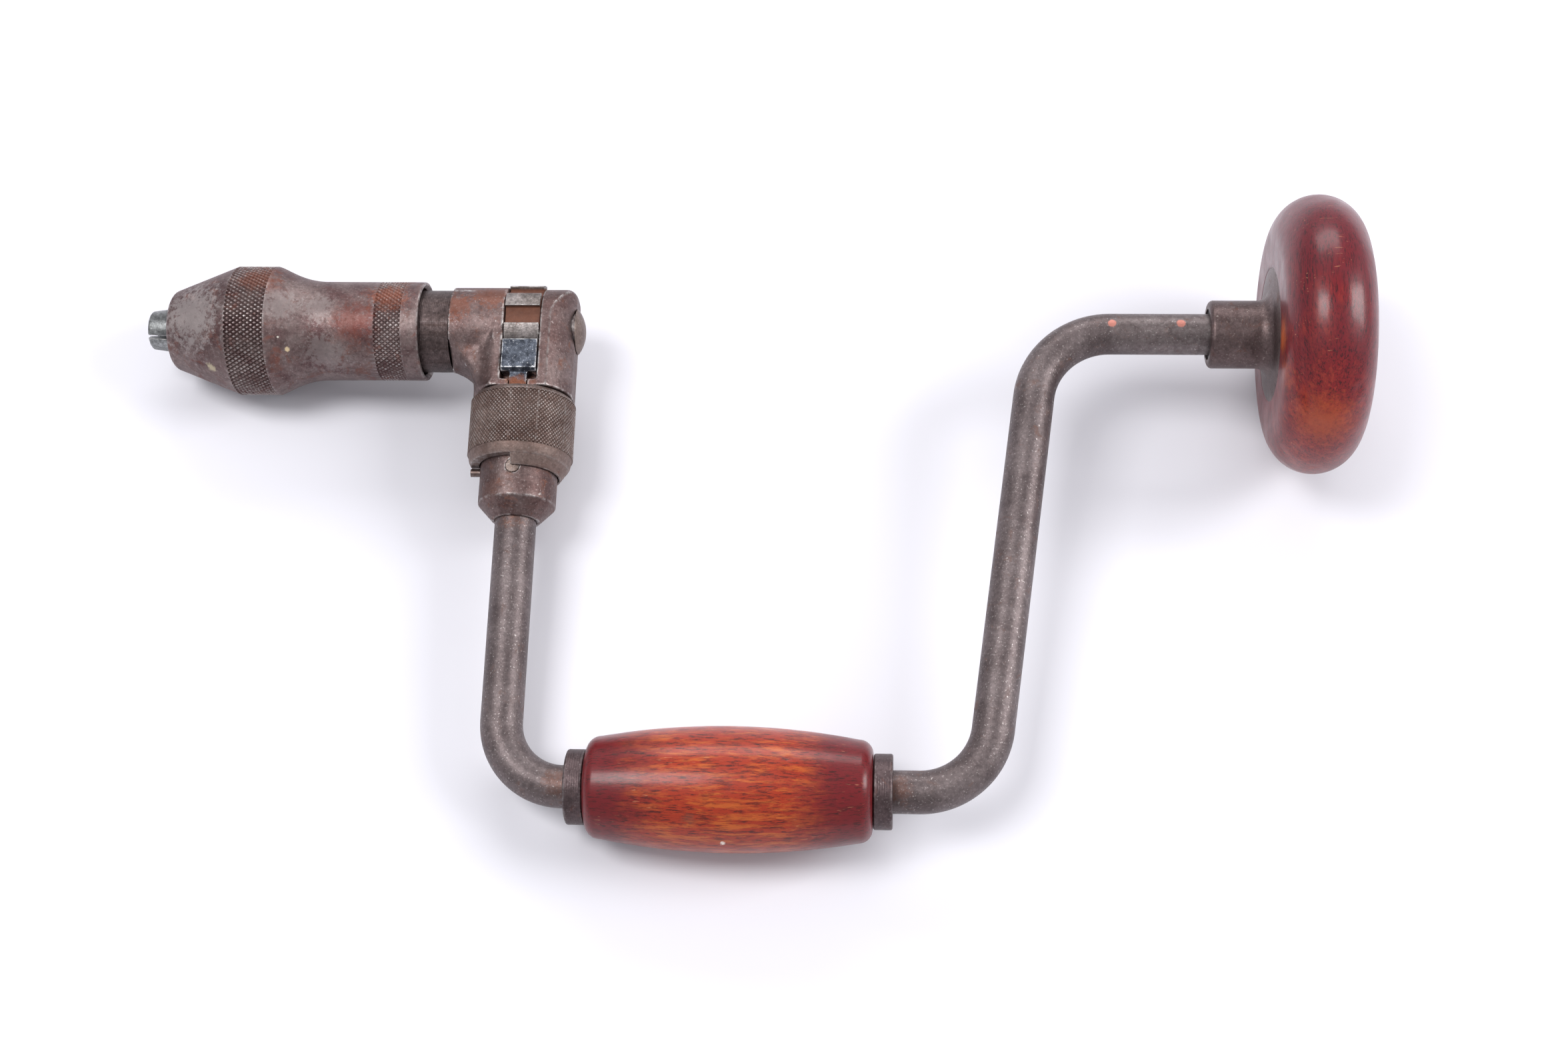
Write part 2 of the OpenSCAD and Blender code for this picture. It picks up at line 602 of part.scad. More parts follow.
head_fork();
crank_rod();
stem_pin();
stop_pin();
ferrule_front();
ferrule_rear();
dust_washer();
thrust_race_front();
retaining_nut();
detent_ball();
detent_spring();
pawl_spring_front();
pawl_spring_back();
chuck_spindle();
ratchet_wheel();
wheel_key();
end_screw();
jaw_upper();
jaw_lower();
jaw_spring();
guide_ring();
chuck_shell();
cam_ring();
pawl_front();
pawl_back();
quill();
thrust_race_rear();
bearing_balls();
pad_wood();
grip_wood();
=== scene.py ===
"""Looks of a carpenter's ratchet bit brace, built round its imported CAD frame.

Sizes in the classes are millimetres in the row frame: +X runs from the jaws to the breast pad, the crank
reaches towards -Y, and +Z is square to the plane of the crank. Blender's own lengths are metres.
"""
import logging
import math
from dataclasses import dataclass
from enum import Enum
from typing import Union

import bmesh
import bpy
import numpy as np
from mathutils import Matrix, Vector


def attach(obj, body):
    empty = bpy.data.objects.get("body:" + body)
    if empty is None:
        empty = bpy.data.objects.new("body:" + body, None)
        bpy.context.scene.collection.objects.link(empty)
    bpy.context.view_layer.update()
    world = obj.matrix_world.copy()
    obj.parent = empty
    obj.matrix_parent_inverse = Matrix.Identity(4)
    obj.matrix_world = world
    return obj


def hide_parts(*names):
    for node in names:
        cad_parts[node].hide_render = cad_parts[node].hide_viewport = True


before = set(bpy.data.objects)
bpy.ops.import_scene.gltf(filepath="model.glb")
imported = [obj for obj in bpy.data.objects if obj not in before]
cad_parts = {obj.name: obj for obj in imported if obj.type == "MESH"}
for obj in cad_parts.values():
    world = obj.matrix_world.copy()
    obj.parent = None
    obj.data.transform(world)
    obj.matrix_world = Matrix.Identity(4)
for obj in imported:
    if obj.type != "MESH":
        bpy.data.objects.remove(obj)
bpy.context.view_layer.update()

log = logging.getLogger("bit_brace")
MM = 0.001
KNURL_EASE = 0.02
BLEND_FADE = 3
BLEND_PULL = 0.6
Point = tuple[float, float]
Triple = tuple[float, float, float]
Shape = tuple[np.ndarray, list[list[int]]]


class Body(Enum):
    """CAD bodies that the pieces ride on."""

    FRAME = "frame"
    SPINDLE = "spindle"
    JAW_UPPER = "jaw_upper"
    JAW_LOWER = "jaw_lower"
    SHELL = "shell"
    CAM_RING = "cam_ring"
    PAWL_FRONT = "pawl_front"
    PAWL_BACK = "pawl_back"
    PAD = "pad"
    GRIP = "grip"


class Slot(Enum):
    """Material slots of the record."""

    PATINA = "steel_patina"
    ROD = "rod_steel"
    DARK = "dark_steel"
    WHEEL = "wheel_steel"
    BRIGHT = "bright_steel"
    BLUED = "blued_steel"
    WOOD = "lacquered_wood"


class Grain(Enum):
    """Direction in which wood fibres run."""

    MAIN = (1.0, 0.0, 0.0)
    ARM = (0.0, 1.0, 0.0)


# ---------------------------------------------------------------- colour and nodes


def linear(colour: str) -> tuple[float, float, float, float]:
    """Turns an sRGB hex colour into linear RGBA.

    Args:
        colour: hex colour such as "#5d5350".

    Returns:
        Linear red, green, blue and an alpha of 1.
    """
    parts = [int(colour[i : i + 2], 16) / 255 for i in (1, 3, 5)]
    turned = [p / 12.92 if p <= 0.04045 else ((p + 0.055) / 1.055) ** 2.4 for p in parts]
    return turned[0], turned[1], turned[2], 1.0


def output(node: bpy.types.Node) -> bpy.types.NodeSocket:
    """The first output that a node's settings leave in use."""
    return next(o for o in node.outputs if o.enabled)


def add_node(tree: bpy.types.NodeTree, kind: str, settings: dict, inputs: dict) -> bpy.types.Node:
    """Adds one shader node with its settings and links.

    Args:
        tree: node tree that takes the node.
        kind: node type without its "ShaderNode" start.
        settings: node attributes by name.
        inputs: value, node or socket for each input, by name or number.

    Returns:
        The new node.
    """
    made = tree.nodes.new("ShaderNode" + kind)
    for name, value in settings.items():
        setattr(made, name, value)
    for key, value in inputs.items():
        socket = made.inputs[key] if isinstance(key, int) else next(
            s for s in made.inputs if s.name == key and s.enabled)
        if isinstance(value, bpy.types.Node):
            value = output(value)
        if isinstance(value, bpy.types.NodeSocket):
            tree.links.new(value, socket)
        else:
            socket.default_value = value
    return made


def start_finish(name: str) -> tuple[bpy.types.Material, bpy.types.Node, bpy.types.NodeSocket]:
    """Starts a material.

    Args:
        name: the material's name.

    Returns:
        The material, its shader and the object coordinates that its patterns are laid in.
    """
    made = bpy.data.materials.new(name)
    made.use_nodes = True
    tree = made.node_tree
    return made, tree.nodes["Principled BSDF"], add_node(tree, "TexCoord", {}, {}).outputs["Object"]


@dataclass(frozen=True)
class MarkOrHighlight:
    """A local mark on a finish, such as a rust bloom, a worn patch, a chip of paint or a painted highlight.

    Args:
        centre: its middle, in mm.
        radius: its reach, in mm.
        colour: its sRGB hex colour.
        strength: how much it covers, from 0 to 1.
        soft: share of the radius over which it fades.
        ragged: how far its edge wanders, as a share of the radius.
    """

    centre: Triple
    radius: float
    colour: str
    strength: float = 0.8
    soft: float = 0.8
    ragged: float = 0.8


def add_marks_and_highlights(tree: bpy.types.NodeTree, place: bpy.types.NodeSocket, colour: bpy.types.Node,
               marks_and_highlights: tuple[MarkOrHighlight, ...]) -> bpy.types.Node:
    """Lays local marks over a colour: stains, wear and scuffs, and on the chuck shell a painted highlight.

    Args:
        tree: node tree of the finish.
        place: object coordinates.
        colour: node whose colour they cover.
        marks_and_highlights: the marks.

    Returns:
        The node that gives the marked colour.
    """
    edge = add_node(tree, "TexNoise", {}, {"Vector": place, "Scale": 1 / (1.5 * MM), "Detail": 7.0,
                                           "Roughness": 0.78})
    wander = add_node(tree, "Math", {"operation": "SUBTRACT"}, {0: edge, 1: 0.5})
    for stain in marks_and_highlights:
        centre = tuple(c * MM for c in stain.centre)
        away = add_node(tree, "VectorMath", {"operation": "DISTANCE"}, {0: place, 1: centre})
        share = add_node(tree, "Math", {"operation": "DIVIDE"},
                         {0: away.outputs["Value"], 1: stain.radius * MM})
        uneven = add_node(tree, "Math", {"operation": "MULTIPLY_ADD"},
                          {0: wander, 1: stain.ragged * 2, 2: share})
        cover = add_node(tree, "MapRange", {"interpolation_type": "SMOOTHSTEP"},
                         {"Value": uneven, "From Min": 1.0, "From Max": 1.0 - stain.soft, "To Min": 0.0,
                          "To Max": stain.strength})
        colour = add_node(tree, "Mix", {"data_type": "RGBA"},
                          {0: cover, "A": colour, "B": linear(stain.colour)})
    return colour


@dataclass(frozen=True)
class Steel:
    """Carbon steel that was forged or turned, then browned by decades of handling.

    It reads as a dark metal with a broad, soft sheen, cloudy brown and grey, darker in its hollows, with
    bright steel where edges rub.
    """

    name: str
    base: str
    cloud: str
    rust: str = "#7a4230"
    hollow: str = "#33241f"
    bright: str = "#b8b4b2"
    cloud_mm: float = 9.0
    rust_mm: float = 5.0
    rust_cover: float = 0.35
    hollow_cover: float = 0.7
    wear: float = 0.6
    speckle: float = 0.25
    roughness: float = 0.42
    metallic: float = 0.85
    pit_mm: float = 0.45
    pit_depth: float = 0.035
    lines_mm: float = 0.0
    rust_below: float = 0.0
    crust: tuple[str, str] = ("#4d2c20", "#7c4b35")
    edge_at: Point = (0.51, 0.56)
    mottle: float = 0.45
    marks_and_highlights: tuple[MarkOrHighlight, ...] = ()

    def material(self) -> bpy.types.Material:
        """Builds the finish."""
        made, shader, place = start_finish(self.name)
        tree = made.node_tree
        edges = add_node(tree, "NewGeometry", {}, {}).outputs["Pointiness"]

        # Browning comes out in clouds the width of a finger mark.
        clouds = add_node(tree, "TexNoise", {}, {"Vector": place, "Scale": 1 / (self.cloud_mm * MM),
                                                 "Detail": 6.0, "Roughness": 0.62, "Distortion": 0.4})
        clouding = add_node(tree, "MapRange", {}, {"Value": clouds, "From Min": 0.38, "From Max": 0.62})
        colour = add_node(tree, "Mix", {"data_type": "RGBA"},
                          {0: clouding, "A": linear(self.base), "B": linear(self.cloud)})

        # Close up, the browning breaks into grains a millimetre across, some darker and some lighter.
        grain = add_node(tree, "TexNoise", {}, {"Vector": place, "Scale": 1 / (1.1 * MM), "Detail": 7.0,
                                                "Roughness": 0.75})
        shade = add_node(tree, "MapRange", {}, {"Value": grain, "From Min": 0.36, "From Max": 0.64,
                                                "To Min": 1 - self.mottle, "To Max": 1 + self.mottle})
        colour = add_node(tree, "Mix", {"data_type": "RGBA", "blend_type": "MULTIPLY"},
                          {0: 1.0, "A": colour, "B": shade})

        # Rust blooms in patches with a ragged edge, and it is duller and rougher than the steel.
        blooms = add_node(tree, "TexNoise", {}, {"Vector": place, "Scale": 1 / (self.rust_mm * MM),
                                                 "Detail": 8.0, "Roughness": 0.7, "Distortion": 0.8})
        start = 0.72 - 0.4 * self.rust_cover
        rusting = add_node(tree, "MapRange", {"interpolation_type": "SMOOTHSTEP"},
                           {"Value": blooms, "From Min": start, "From Max": start + 0.16, "To Max": 0.75})

        # The hollows, where pointiness is low, are darkened.
        hollows = add_node(tree, "MapRange", {"interpolation_type": "SMOOTHSTEP"},
                           {"Value": edges, "From Min": 0.498, "From Max": 0.455,
                            "To Max": self.hollow_cover})

        # Edges that hands and the bench rub are bright, in broken lengths.
        rubbed = add_node(tree, "TexNoise", {}, {"Vector": place, "Scale": 1 / (1.6 * MM), "Detail": 6.0,
                                                 "Roughness": 0.7})
        broken = add_node(tree, "MapRange", {}, {"Value": rubbed, "From Min": 0.42, "From Max": 0.62})
        edge = add_node(tree, "MapRange", {"interpolation_type": "SMOOTHSTEP"},
                        {"Value": edges, "From Min": self.edge_at[0], "From Max": self.edge_at[1],
                         "To Max": self.wear})
        worn = add_node(tree, "Math", {"operation": "MULTIPLY"}, {0: edge, 1: broken})
        # Bare grains of steel show as specks about 0.3 mm wide.
        grains = add_node(tree, "TexNoise", {}, {"Vector": place, "Scale": 1 / (0.55 * MM), "Detail": 3.0,
                                                 "Roughness": 0.6})
        specks = add_node(tree, "MapRange", {}, {"Value": grains, "From Min": 0.62, "From Max": 0.72,
                                                 "To Max": self.speckle})
        bare = add_node(tree, "Math", {"operation": "MAXIMUM"}, {0: worn, 1: specks})
        for cover, tone in ((rusting, self.rust), (hollows, self.hollow), (bare, self.bright)):
            colour = add_node(tree, "Mix", {"data_type": "RGBA"}, {0: cover, "A": colour, "B": linear(tone)})
        colour = add_marks_and_highlights(tree, place, colour, self.marks_and_highlights)
        if self.rust_below:
            # Rust cakes every floor that lies deeper than this radius about the main axis.
            across = add_node(tree, "VectorMath", {"operation": "MULTIPLY"}, {0: place, 1: (0.0, 1.0, 1.0)})
            deep = add_node(tree, "VectorMath", {"operation": "LENGTH"}, {0: across})
            caked = add_node(tree, "MapRange", {}, {"Value": deep.outputs["Value"],
                                                    "From Min": self.rust_below * MM,
                                                    "From Max": (self.rust_below - 0.5) * MM, "To Max": 0.92})
            crust = add_node(tree, "Mix", {"data_type": "RGBA"},
                             {0: rubbed, "A": linear(self.crust[0]), "B": linear(self.crust[1])})
            colour = add_node(tree, "Mix", {"data_type": "RGBA"}, {0: caked, "A": colour, "B": crust})
            rusting = add_node(tree, "Math", {"operation": "MAXIMUM"}, {0: rusting, 1: caked})
        tree.links.new(output(colour), shader.inputs["Base Color"])

        dull = add_node(tree, "Math", {"operation": "MULTIPLY_ADD"},
                        {0: rusting, 1: 0.28, 2: self.roughness})
        gloss = add_node(tree, "Math", {"operation": "MULTIPLY_ADD"}, {0: bare, 1: -0.14, 2: dull})
        mottle = add_node(tree, "Math", {"operation": "MULTIPLY_ADD", "use_clamp": True},
                          {0: clouds, 1: 0.16, 2: gloss})
        tree.links.new(mottle.outputs[0], shader.inputs["Roughness"])
        metal = add_node(tree, "Math", {"operation": "MULTIPLY_ADD", "use_clamp": True},
                         {0: rusting, 1: -0.55, 2: self.metallic})
        tree.links.new(metal.outputs[0], shader.inputs["Metallic"])

        # Fine pitting from old rust.
        pits = add_node(tree, "TexNoise", {},
                        {"Vector": place, "Scale": 1 / (self.pit_mm * MM), "Detail": 4.0, "Roughness": 0.6})
        relief = add_node(tree, "Bump", {},
                          {"Height": pits, "Strength": 0.55, "Distance": self.pit_depth * MM * 3})
        if self.lines_mm:
            # Turning marks, drawn wider than the real feed of about 0.1 mm so that they show.
            period = 2 * math.pi / (20 * self.lines_mm * MM)
            marks = add_node(tree, "TexWave", {"bands_direction": "X"},
                             {"Vector": place, "Scale": period, "Distortion": 1.2, "Detail": 2.0,
                              "Detail Scale": 0.6})
            relief = add_node(tree, "Bump", {}, {"Height": marks, "Strength": 0.6,
                                                 "Distance": self.pit_depth * MM, "Normal": relief})
        tree.links.new(relief.outputs[0], shader.inputs["Normal"])
        return made


@dataclass(frozen=True)
class LacqueredWood:
    """Close-grained hardwood, stained crimson and lacquered, worn to orange where a hand turns it.

    The lacquer gives a clear gloss over a warm ground with short dark pores along the fibres, and the gloss
    breaks up where it is scratched.
    """

    name: str
    stain: str
    worn: str
    pore: str
    grain: Grain
    gold: str = "#c9702a"
    raw: str = "#c98a62"
    wear_centre: Triple = (0.0, 0.0, 0.0)
    wear_reach: float = 30.0
    wear_fade: float = 20.0
    scratches: float = 0.5
    marks_and_highlights: tuple[MarkOrHighlight, ...] = ()

    def material(self) -> bpy.types.Material:
        """Builds the finish."""
        made, shader, place = start_finish(self.name)
        tree = made.node_tree
        stretch = tuple(0.13 if part else 1.0 for part in self.grain.value)
        fibres = add_node(tree, "Mapping", {}, {"Vector": place, "Scale": stretch})

        # The stain is worn through in the middle of the hand's reach, with an uneven border.
        blotches = add_node(tree, "TexNoise", {}, {"Vector": place, "Scale": 1 / (11 * MM), "Detail": 5.0,
                                                   "Roughness": 0.6})
        along = add_node(tree, "VectorMath", {"operation": "SUBTRACT"},
                         {0: place, 1: tuple(c * MM for c in self.wear_centre)})
        reach = add_node(tree, "VectorMath", {"operation": "MULTIPLY"}, {0: along, 1: (1.0, 0.25, 0.25)})
        away = add_node(tree, "VectorMath", {"operation": "LENGTH"}, {0: reach})
        ragged = add_node(tree, "Math", {"operation": "MULTIPLY_ADD"},
                          {0: blotches, 1: 22 * MM, 2: away.outputs["Value"]})
        bare = add_node(tree, "MapRange", {"interpolation_type": "SMOOTHSTEP"},
                        {"Value": ragged, "From Min": (self.wear_reach + 11) * MM,
                         "From Max": (self.wear_reach + 11 - self.wear_fade) * MM})
        colour = add_node(tree, "Mix", {"data_type": "RGBA"},
                          {0: bare, "A": linear(self.stain), "B": linear(self.worn)})

        # Figure: bands of lighter wood a millimetre or two wide along the fibres.
        figure = add_node(tree, "TexNoise", {}, {"Vector": fibres, "Scale": 1 / (1.7 * MM), "Detail": 7.0,
                                                 "Roughness": 0.72, "Distortion": 0.3})
        bands = add_node(tree, "MapRange", {},
                         {"Value": figure, "From Min": 0.49, "From Max": 0.61, "To Max": 0.65})
        gold = add_node(tree, "Math", {"operation": "MULTIPLY"}, {0: bands, 1: bare})

        # Pores: dark streaks 0.2 to 0.4 mm wide and a few millimetres long.
        streaks = add_node(tree, "TexNoise", {}, {"Vector": fibres, "Scale": 1 / (0.45 * MM), "Detail": 4.0,
                                                  "Roughness": 0.7})
        pores = add_node(tree, "MapRange", {},
                         {"Value": streaks, "From Min": 0.49, "From Max": 0.59, "To Max": 0.95})
        gather = add_node(tree, "MapRange", {},
                          {"Value": figure, "From Min": 0.62, "From Max": 0.40, "To Min": 0.25, "To Max": 1.0})
        dark = add_node(tree, "Math", {"operation": "MULTIPLY"}, {0: pores, 1: gather})

        # Scratches: tan lines a millimetre or so apart, in loose groups.
        turned = add_node(tree, "Mapping", {}, {"Vector": place, "Rotation": (0.3, 0.4, 0.25),
                                                "Scale": (0.12, 1.0, 1.0)})
        lines = add_node(tree, "TexNoise", {}, {"Vector": turned, "Scale": 1 / (0.5 * MM), "Detail": 2.0})
        groups = add_node(tree, "TexNoise", {}, {"Vector": place, "Scale": 1 / (8 * MM), "Detail": 2.0})
        group = add_node(tree, "MapRange", {}, {"Value": groups, "From Min": 0.52, "From Max": 0.66})
        score = add_node(tree, "MapRange", {}, {"Value": lines, "From Min": 0.66, "From Max": 0.72,
                                                "To Max": self.scratches})
        scratch = add_node(tree, "Math", {"operation": "MULTIPLY"}, {0: score, 1: group})
        for cover, tone in ((gold, self.gold), (dark, self.pore), (scratch, self.raw)):
            colour = add_node(tree, "Mix", {"data_type": "RGBA"}, {0: cover, "A": colour, "B": linear(tone)})
        colour = add_marks_and_highlights(tree, place, colour, self.marks_and_highlights)
        tree.links.new(output(colour), shader.inputs["Base Color"])

        rough = add_node(tree, "MapRange", {}, {"Value": blotches, "From Min": 0.35, "From Max": 0.65,
                                                "To Min": 0.28, "To Max": 0.42})
        scored = add_node(tree, "Math", {"operation": "MULTIPLY_ADD"}, {0: scratch, 1: 0.3, 2: rough})
        tree.links.new(scored.outputs[0], shader.inputs["Roughness"])
        ripple = add_node(tree, "Bump", {}, {"Height": streaks, "Strength": 0.35, "Distance": 0.06 * MM})
        wavy = add_node(tree, "Bump", {}, {"Height": blotches, "Strength": 0.3, "Distance": 0.5 * MM,
                                           "Normal": ripple})
        tree.links.new(wavy.outputs[0], shader.inputs["Normal"])
        shader.inputs["IOR"].default_value = 1.5
        shader.inputs["Specular IOR Level"].default_value = 0.3
        shader.inputs["Coat Weight"].default_value = 0.22
        shader.inputs["Coat Roughness"].default_value = 0.17
        return made


@dataclass(frozen=True)
class Felt:
    """Pressed black felt, which gives the eye a soft matt ring with a faint fuzz."""

    name: str = "pressed_felt"
    pit: str = "#1a1615"
    fibre: str = "#2b2624"

    def material(self) -> bpy.types.Material:
        """Builds the finish."""
        made, shader, place = start_finish(self.name)
        tree = made.node_tree
        fuzz = add_node(tree, "TexNoise", {}, {"Vector": place, "Scale": 1 / (0.3 * MM), "Detail": 5.0})
        shade = add_node(tree, "Mix", {"data_type": "RGBA"},
                         {0: fuzz, "A": linear(self.pit), "B": linear(self.fibre)})
        tree.links.new(output(shade), shader.inputs["Base Color"])
        relief = add_node(tree, "Bump", {}, {"Height": fuzz, "Strength": 0.6, "Distance": 0.1 * MM})
        tree.links.new(relief.outputs[0], shader.inputs["Normal"])
        shader.inputs["Roughness"].default_value = 0.95
        return made


# ---------------------------------------------------------------- shapes


@dataclass(frozen=True)
class Knurl:
    """A rolled diamond knurl on a turned band.

    Args:
        start: where the band begins along the axis, in mm.
        end: where it ends, in mm.
        radius: radius over the diamonds, in mm.
        around: diamonds in one turn.
        pitch: length of a diamond along the axis, in mm.
        depth: depth of the grooves, in mm.
        steps: mesh steps across one diamond.
        flat: share of each diamond left blunt by wear.
    """

    start: float
    end: float
    radius: float
    around: int
    pitch: float
    depth: float
    steps: int
    flat: float = 1 / 3

    def rows(self) -> list[tuple[float, float]]:
        """Distance along the axis and along the pattern, for each ring of the band."""
        count = round((self.end - self.start) / self.pitch * self.steps)
        return [(self.start + (self.end - self.start) * k / count, k / self.steps) for k in range(count + 1)]

    def groove(self, around: np.ndarray, along: float) -> np.ndarray:
        """How deep the surface lies below the diamonds, from 0 to 1."""
        first, second = around + along, around - along
        near = np.minimum(np.abs(first - np.round(first)), np.abs(second - np.round(second)))
        return 1 - np.minimum(1, near * 2 / (1 - self.flat))

    def leans(self, around: np.ndarray, along: float) -> np.ndarray:
        """Whether each cell's diagonal follows the falling family of grooves."""
        first, second = around + along, around - along
        return np.abs(first - np.round(first)) < np.abs(second - np.round(second))


def lathe(loop: list[Union[Point, Knurl]], columns: int) -> Shape:
    """Turns a closed outline about the +X axis.

    Args:
        loop: (along, radius) points in order, with a Knurl wherever a knurled band comes.
        columns: mesh steps in one turn.

    Returns:
        Vertices in mm and faces. A radius of 0 gives a pole.
    """
    turn = np.arange(columns) / columns
    alongs: list[float] = []
    radii: list[np.ndarray] = []
    knurled: list[tuple[int, Knurl, float]] = []
    for item in loop:
        if isinstance(item, Knurl):
            rows = item.rows()
            for k, (along, v) in enumerate(rows):
                inset = KNURL_EASE if k == 0 else (-KNURL_EASE if k == len(rows) - 1 else 0.0)
                if k < len(rows) - 1:
                    knurled.append((len(alongs), item, v + 0.5 / item.steps))
                alongs.append(along + inset)
                radii.append(item.radius - item.depth * item.groove(turn * item.around, v))
        else:
            alongs.append(item[0])
            radii.append(np.full(columns, item[1]))
    angle = 2 * np.pi * turn
    radius = np.array(radii)
    points = np.stack([np.repeat(np.array(alongs)[:, None], columns, 1), radius * np.cos(angle),
                       radius * np.sin(angle)], axis=2).reshape(-1, 3)
    lean = {row: knurl.leans((turn + 0.5 / columns) * knurl.around, v) for row, knurl, v in knurled}
    faces: list[list[int]] = []
    total = len(alongs)
    for i in range(total):
        below = (i + 1) % total
        if radius[i].max() == 0 and radius[below].max() == 0:
            continue
        for j in range(columns):
            after = (j + 1) % columns
            a, b, c, d = i * columns + j, below * columns + j, below * columns + after, i * columns + after
            if i not in lean:
                faces.append([a, b, c, d])
            elif lean[i][j]:
                faces += [[a, b, d], [b, c, d]]
            else:
                faces += [[a, b, c], [a, c, d]]
    return points, faces


def arc(centre: Point, radius: float, start: float, end: float, steps: int = 10) -> list[Point]:
    """Points of an arc, with its angles in degrees."""
    angles = [math.radians(start + (end - start) * i / steps) for i in range(steps + 1)]
    return [(centre[0] + radius * math.cos(a), centre[1] + radius * math.sin(a)) for a in angles]


def line(start: Point, end: Point, steps: int) -> list[Point]:
    """Evenly spaced points of a straight stretch, after its start."""
    return [(start[0] + (end[0] - start[0]) * i / steps, start[1] + (end[1] - start[1]) * i / steps)
            for i in range(1, steps + 1)]


def on_arm(points: np.ndarray, arm_x: float) -> np.ndarray:
    """Moves a shape turned about +X onto the arm's axis, which runs towards -Y."""
    return np.stack([arm_x + points[:, 1], -points[:, 0], points[:, 2]], axis=1)


def dented(points: np.ndarray, dents: list[tuple[Triple, float, float]]) -> np.ndarray:
    """Presses shallow dents towards the +X axis.

    Args:
        points: vertices in mm.
        dents: centre, radius and depth of each dent, in mm.

    Returns:
        The moved vertices.
    """
    inward = -points * np.array([0.0, 1.0, 1.0])
    inward /= np.maximum(np.linalg.norm(inward, axis=1, keepdims=True), 1e-6)
    moved = points.copy()
    for centre, radius, depth in dents:
        away = np.linalg.norm(points - np.array(centre), axis=1) / radius
        moved += inward * (depth * np.clip(1 - away**2, 0, None) ** 2)[:, None]
    return moved


def piece(name: str, shape: Shape, body: Body, material: bpy.types.Material,
          replaced: tuple[str, ...], sharp: float) -> bpy.types.Object:
    """Makes a piece from a shape in mm, dresses it and sets it on its body.

    Args:
        name: the piece's name.
        shape: vertices in mm and faces.
        body: CAD body that it rides on.
        material: its finish.
        replaced: CAD nodes that it stands for.
        sharp: angle in degrees above which an edge stays crisp.

    Returns:
        The new object.
    """
    mesh = bpy.data.meshes.new(name)
    mesh.from_pydata((shape[0] * MM).tolist(), [], shape[1])
    work = bmesh.new()
    work.from_mesh(mesh)
    bmesh.ops.remove_doubles(work, verts=work.verts, dist=1e-7)
    bmesh.ops.recalc_face_normals(work, faces=work.faces)
    work.to_mesh(mesh)
    work.free()
    made = bpy.data.objects.new(name, mesh)
    return settle(made, body, material, replaced, sharp)


def settle(made: bpy.types.Object, body: Body, material: bpy.types.Material,
           replaced: tuple[str, ...], sharp: float) -> bpy.types.Object:
    """Links an object, shades and dresses it, and sets it on its body in place of CAD nodes."""
    if made.name not in bpy.context.scene.collection.objects:
        bpy.context.scene.collection.objects.link(made)
    made.data.materials.clear()
    made.data.materials.append(material)
    made.data.polygons.foreach_set("use_smooth", [True] * len(made.data.polygons))
    made.data.set_sharp_from_angle(angle=math.radians(sharp))
    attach(made, body.value)
    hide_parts(*replaced)
    log.info("%s: %d faces on %s", made.name, len(made.data.polygons), body.value)
    return made


def softened(node: str, name: str, voxel: float, passes: int,
             blends: tuple[tuple[Triple, float, int], ...] = ()) -> bpy.types.Object:
    """Makes a forged version of a CAD node, with its edges and inner corners eased.

    Args:
        node: CAD node whose shape is taken.
        name: name of the new piece.
        voxel: mesh step in mm.
        passes: how many times the surface is relaxed.
        blends: centre in mm, reach in mm and further passes wherever the forging flows together.

    Returns:
        The new object, not yet set on a body.
    """
    made = bpy.data.objects.new(name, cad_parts[node].data.copy())
    bpy.context.scene.collection.objects.link(made)
    remesh = made.modifiers.new("even_mesh", "REMESH")
    remesh.mode = "VOXEL"
    remesh.voxel_size = voxel * MM
    relax = made.modifiers.new("eased_edges", "SMOOTH")
    relax.factor = 0.5
    relax.iterations = passes
    graph = bpy.context.evaluated_depsgraph_get()
    mesh = bpy.data.meshes.new_from_object(made.evaluated_get(graph))
    made.modifiers.clear()
    made.data = mesh
    points = np.empty(len(mesh.vertices) * 3)
    mesh.vertices.foreach_get("co", points)
    points = points.reshape(-1, 3) / MM
    ends = np.empty(len(mesh.edges) * 2, np.int64)
    mesh.edges.foreach_get("vertices", ends)
    ends = ends.reshape(-1, 2)
    joined = np.bincount(ends.ravel(), minlength=len(points))[:, None]
    for centre, reach, turns in blends:
        away = np.linalg.norm((points - np.array(centre)) / reach, axis=1)
        weight = np.clip((1 - away) * BLEND_FADE, 0, 1)[:, None]
        for _ in range(turns):
            total = np.stack([np.bincount(ends[:, 0], points[ends[:, 1], k], len(points))
                              + np.bincount(ends[:, 1], points[ends[:, 0], k], len(points))
                              for k in range(3)], 1)
            points = points + weight * (total / joined - points) * BLEND_PULL
    if blends:
        mesh.vertices.foreach_set("co", (points * MM).ravel())
        mesh.update()
    return made


def dress(nodes: tuple[str, ...], material: bpy.types.Material) -> None:
    """Gives CAD nodes that stay as they are a finish."""
    for name in nodes:
        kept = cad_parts[name]
        if not kept.material_slots:
            kept.data.materials.append(material)
        for holder in kept.material_slots:
            holder.material = material
        log.info("%s: CAD node dressed in %s", name, material.name)


# ---------------------------------------------------------------- sub-assemblies


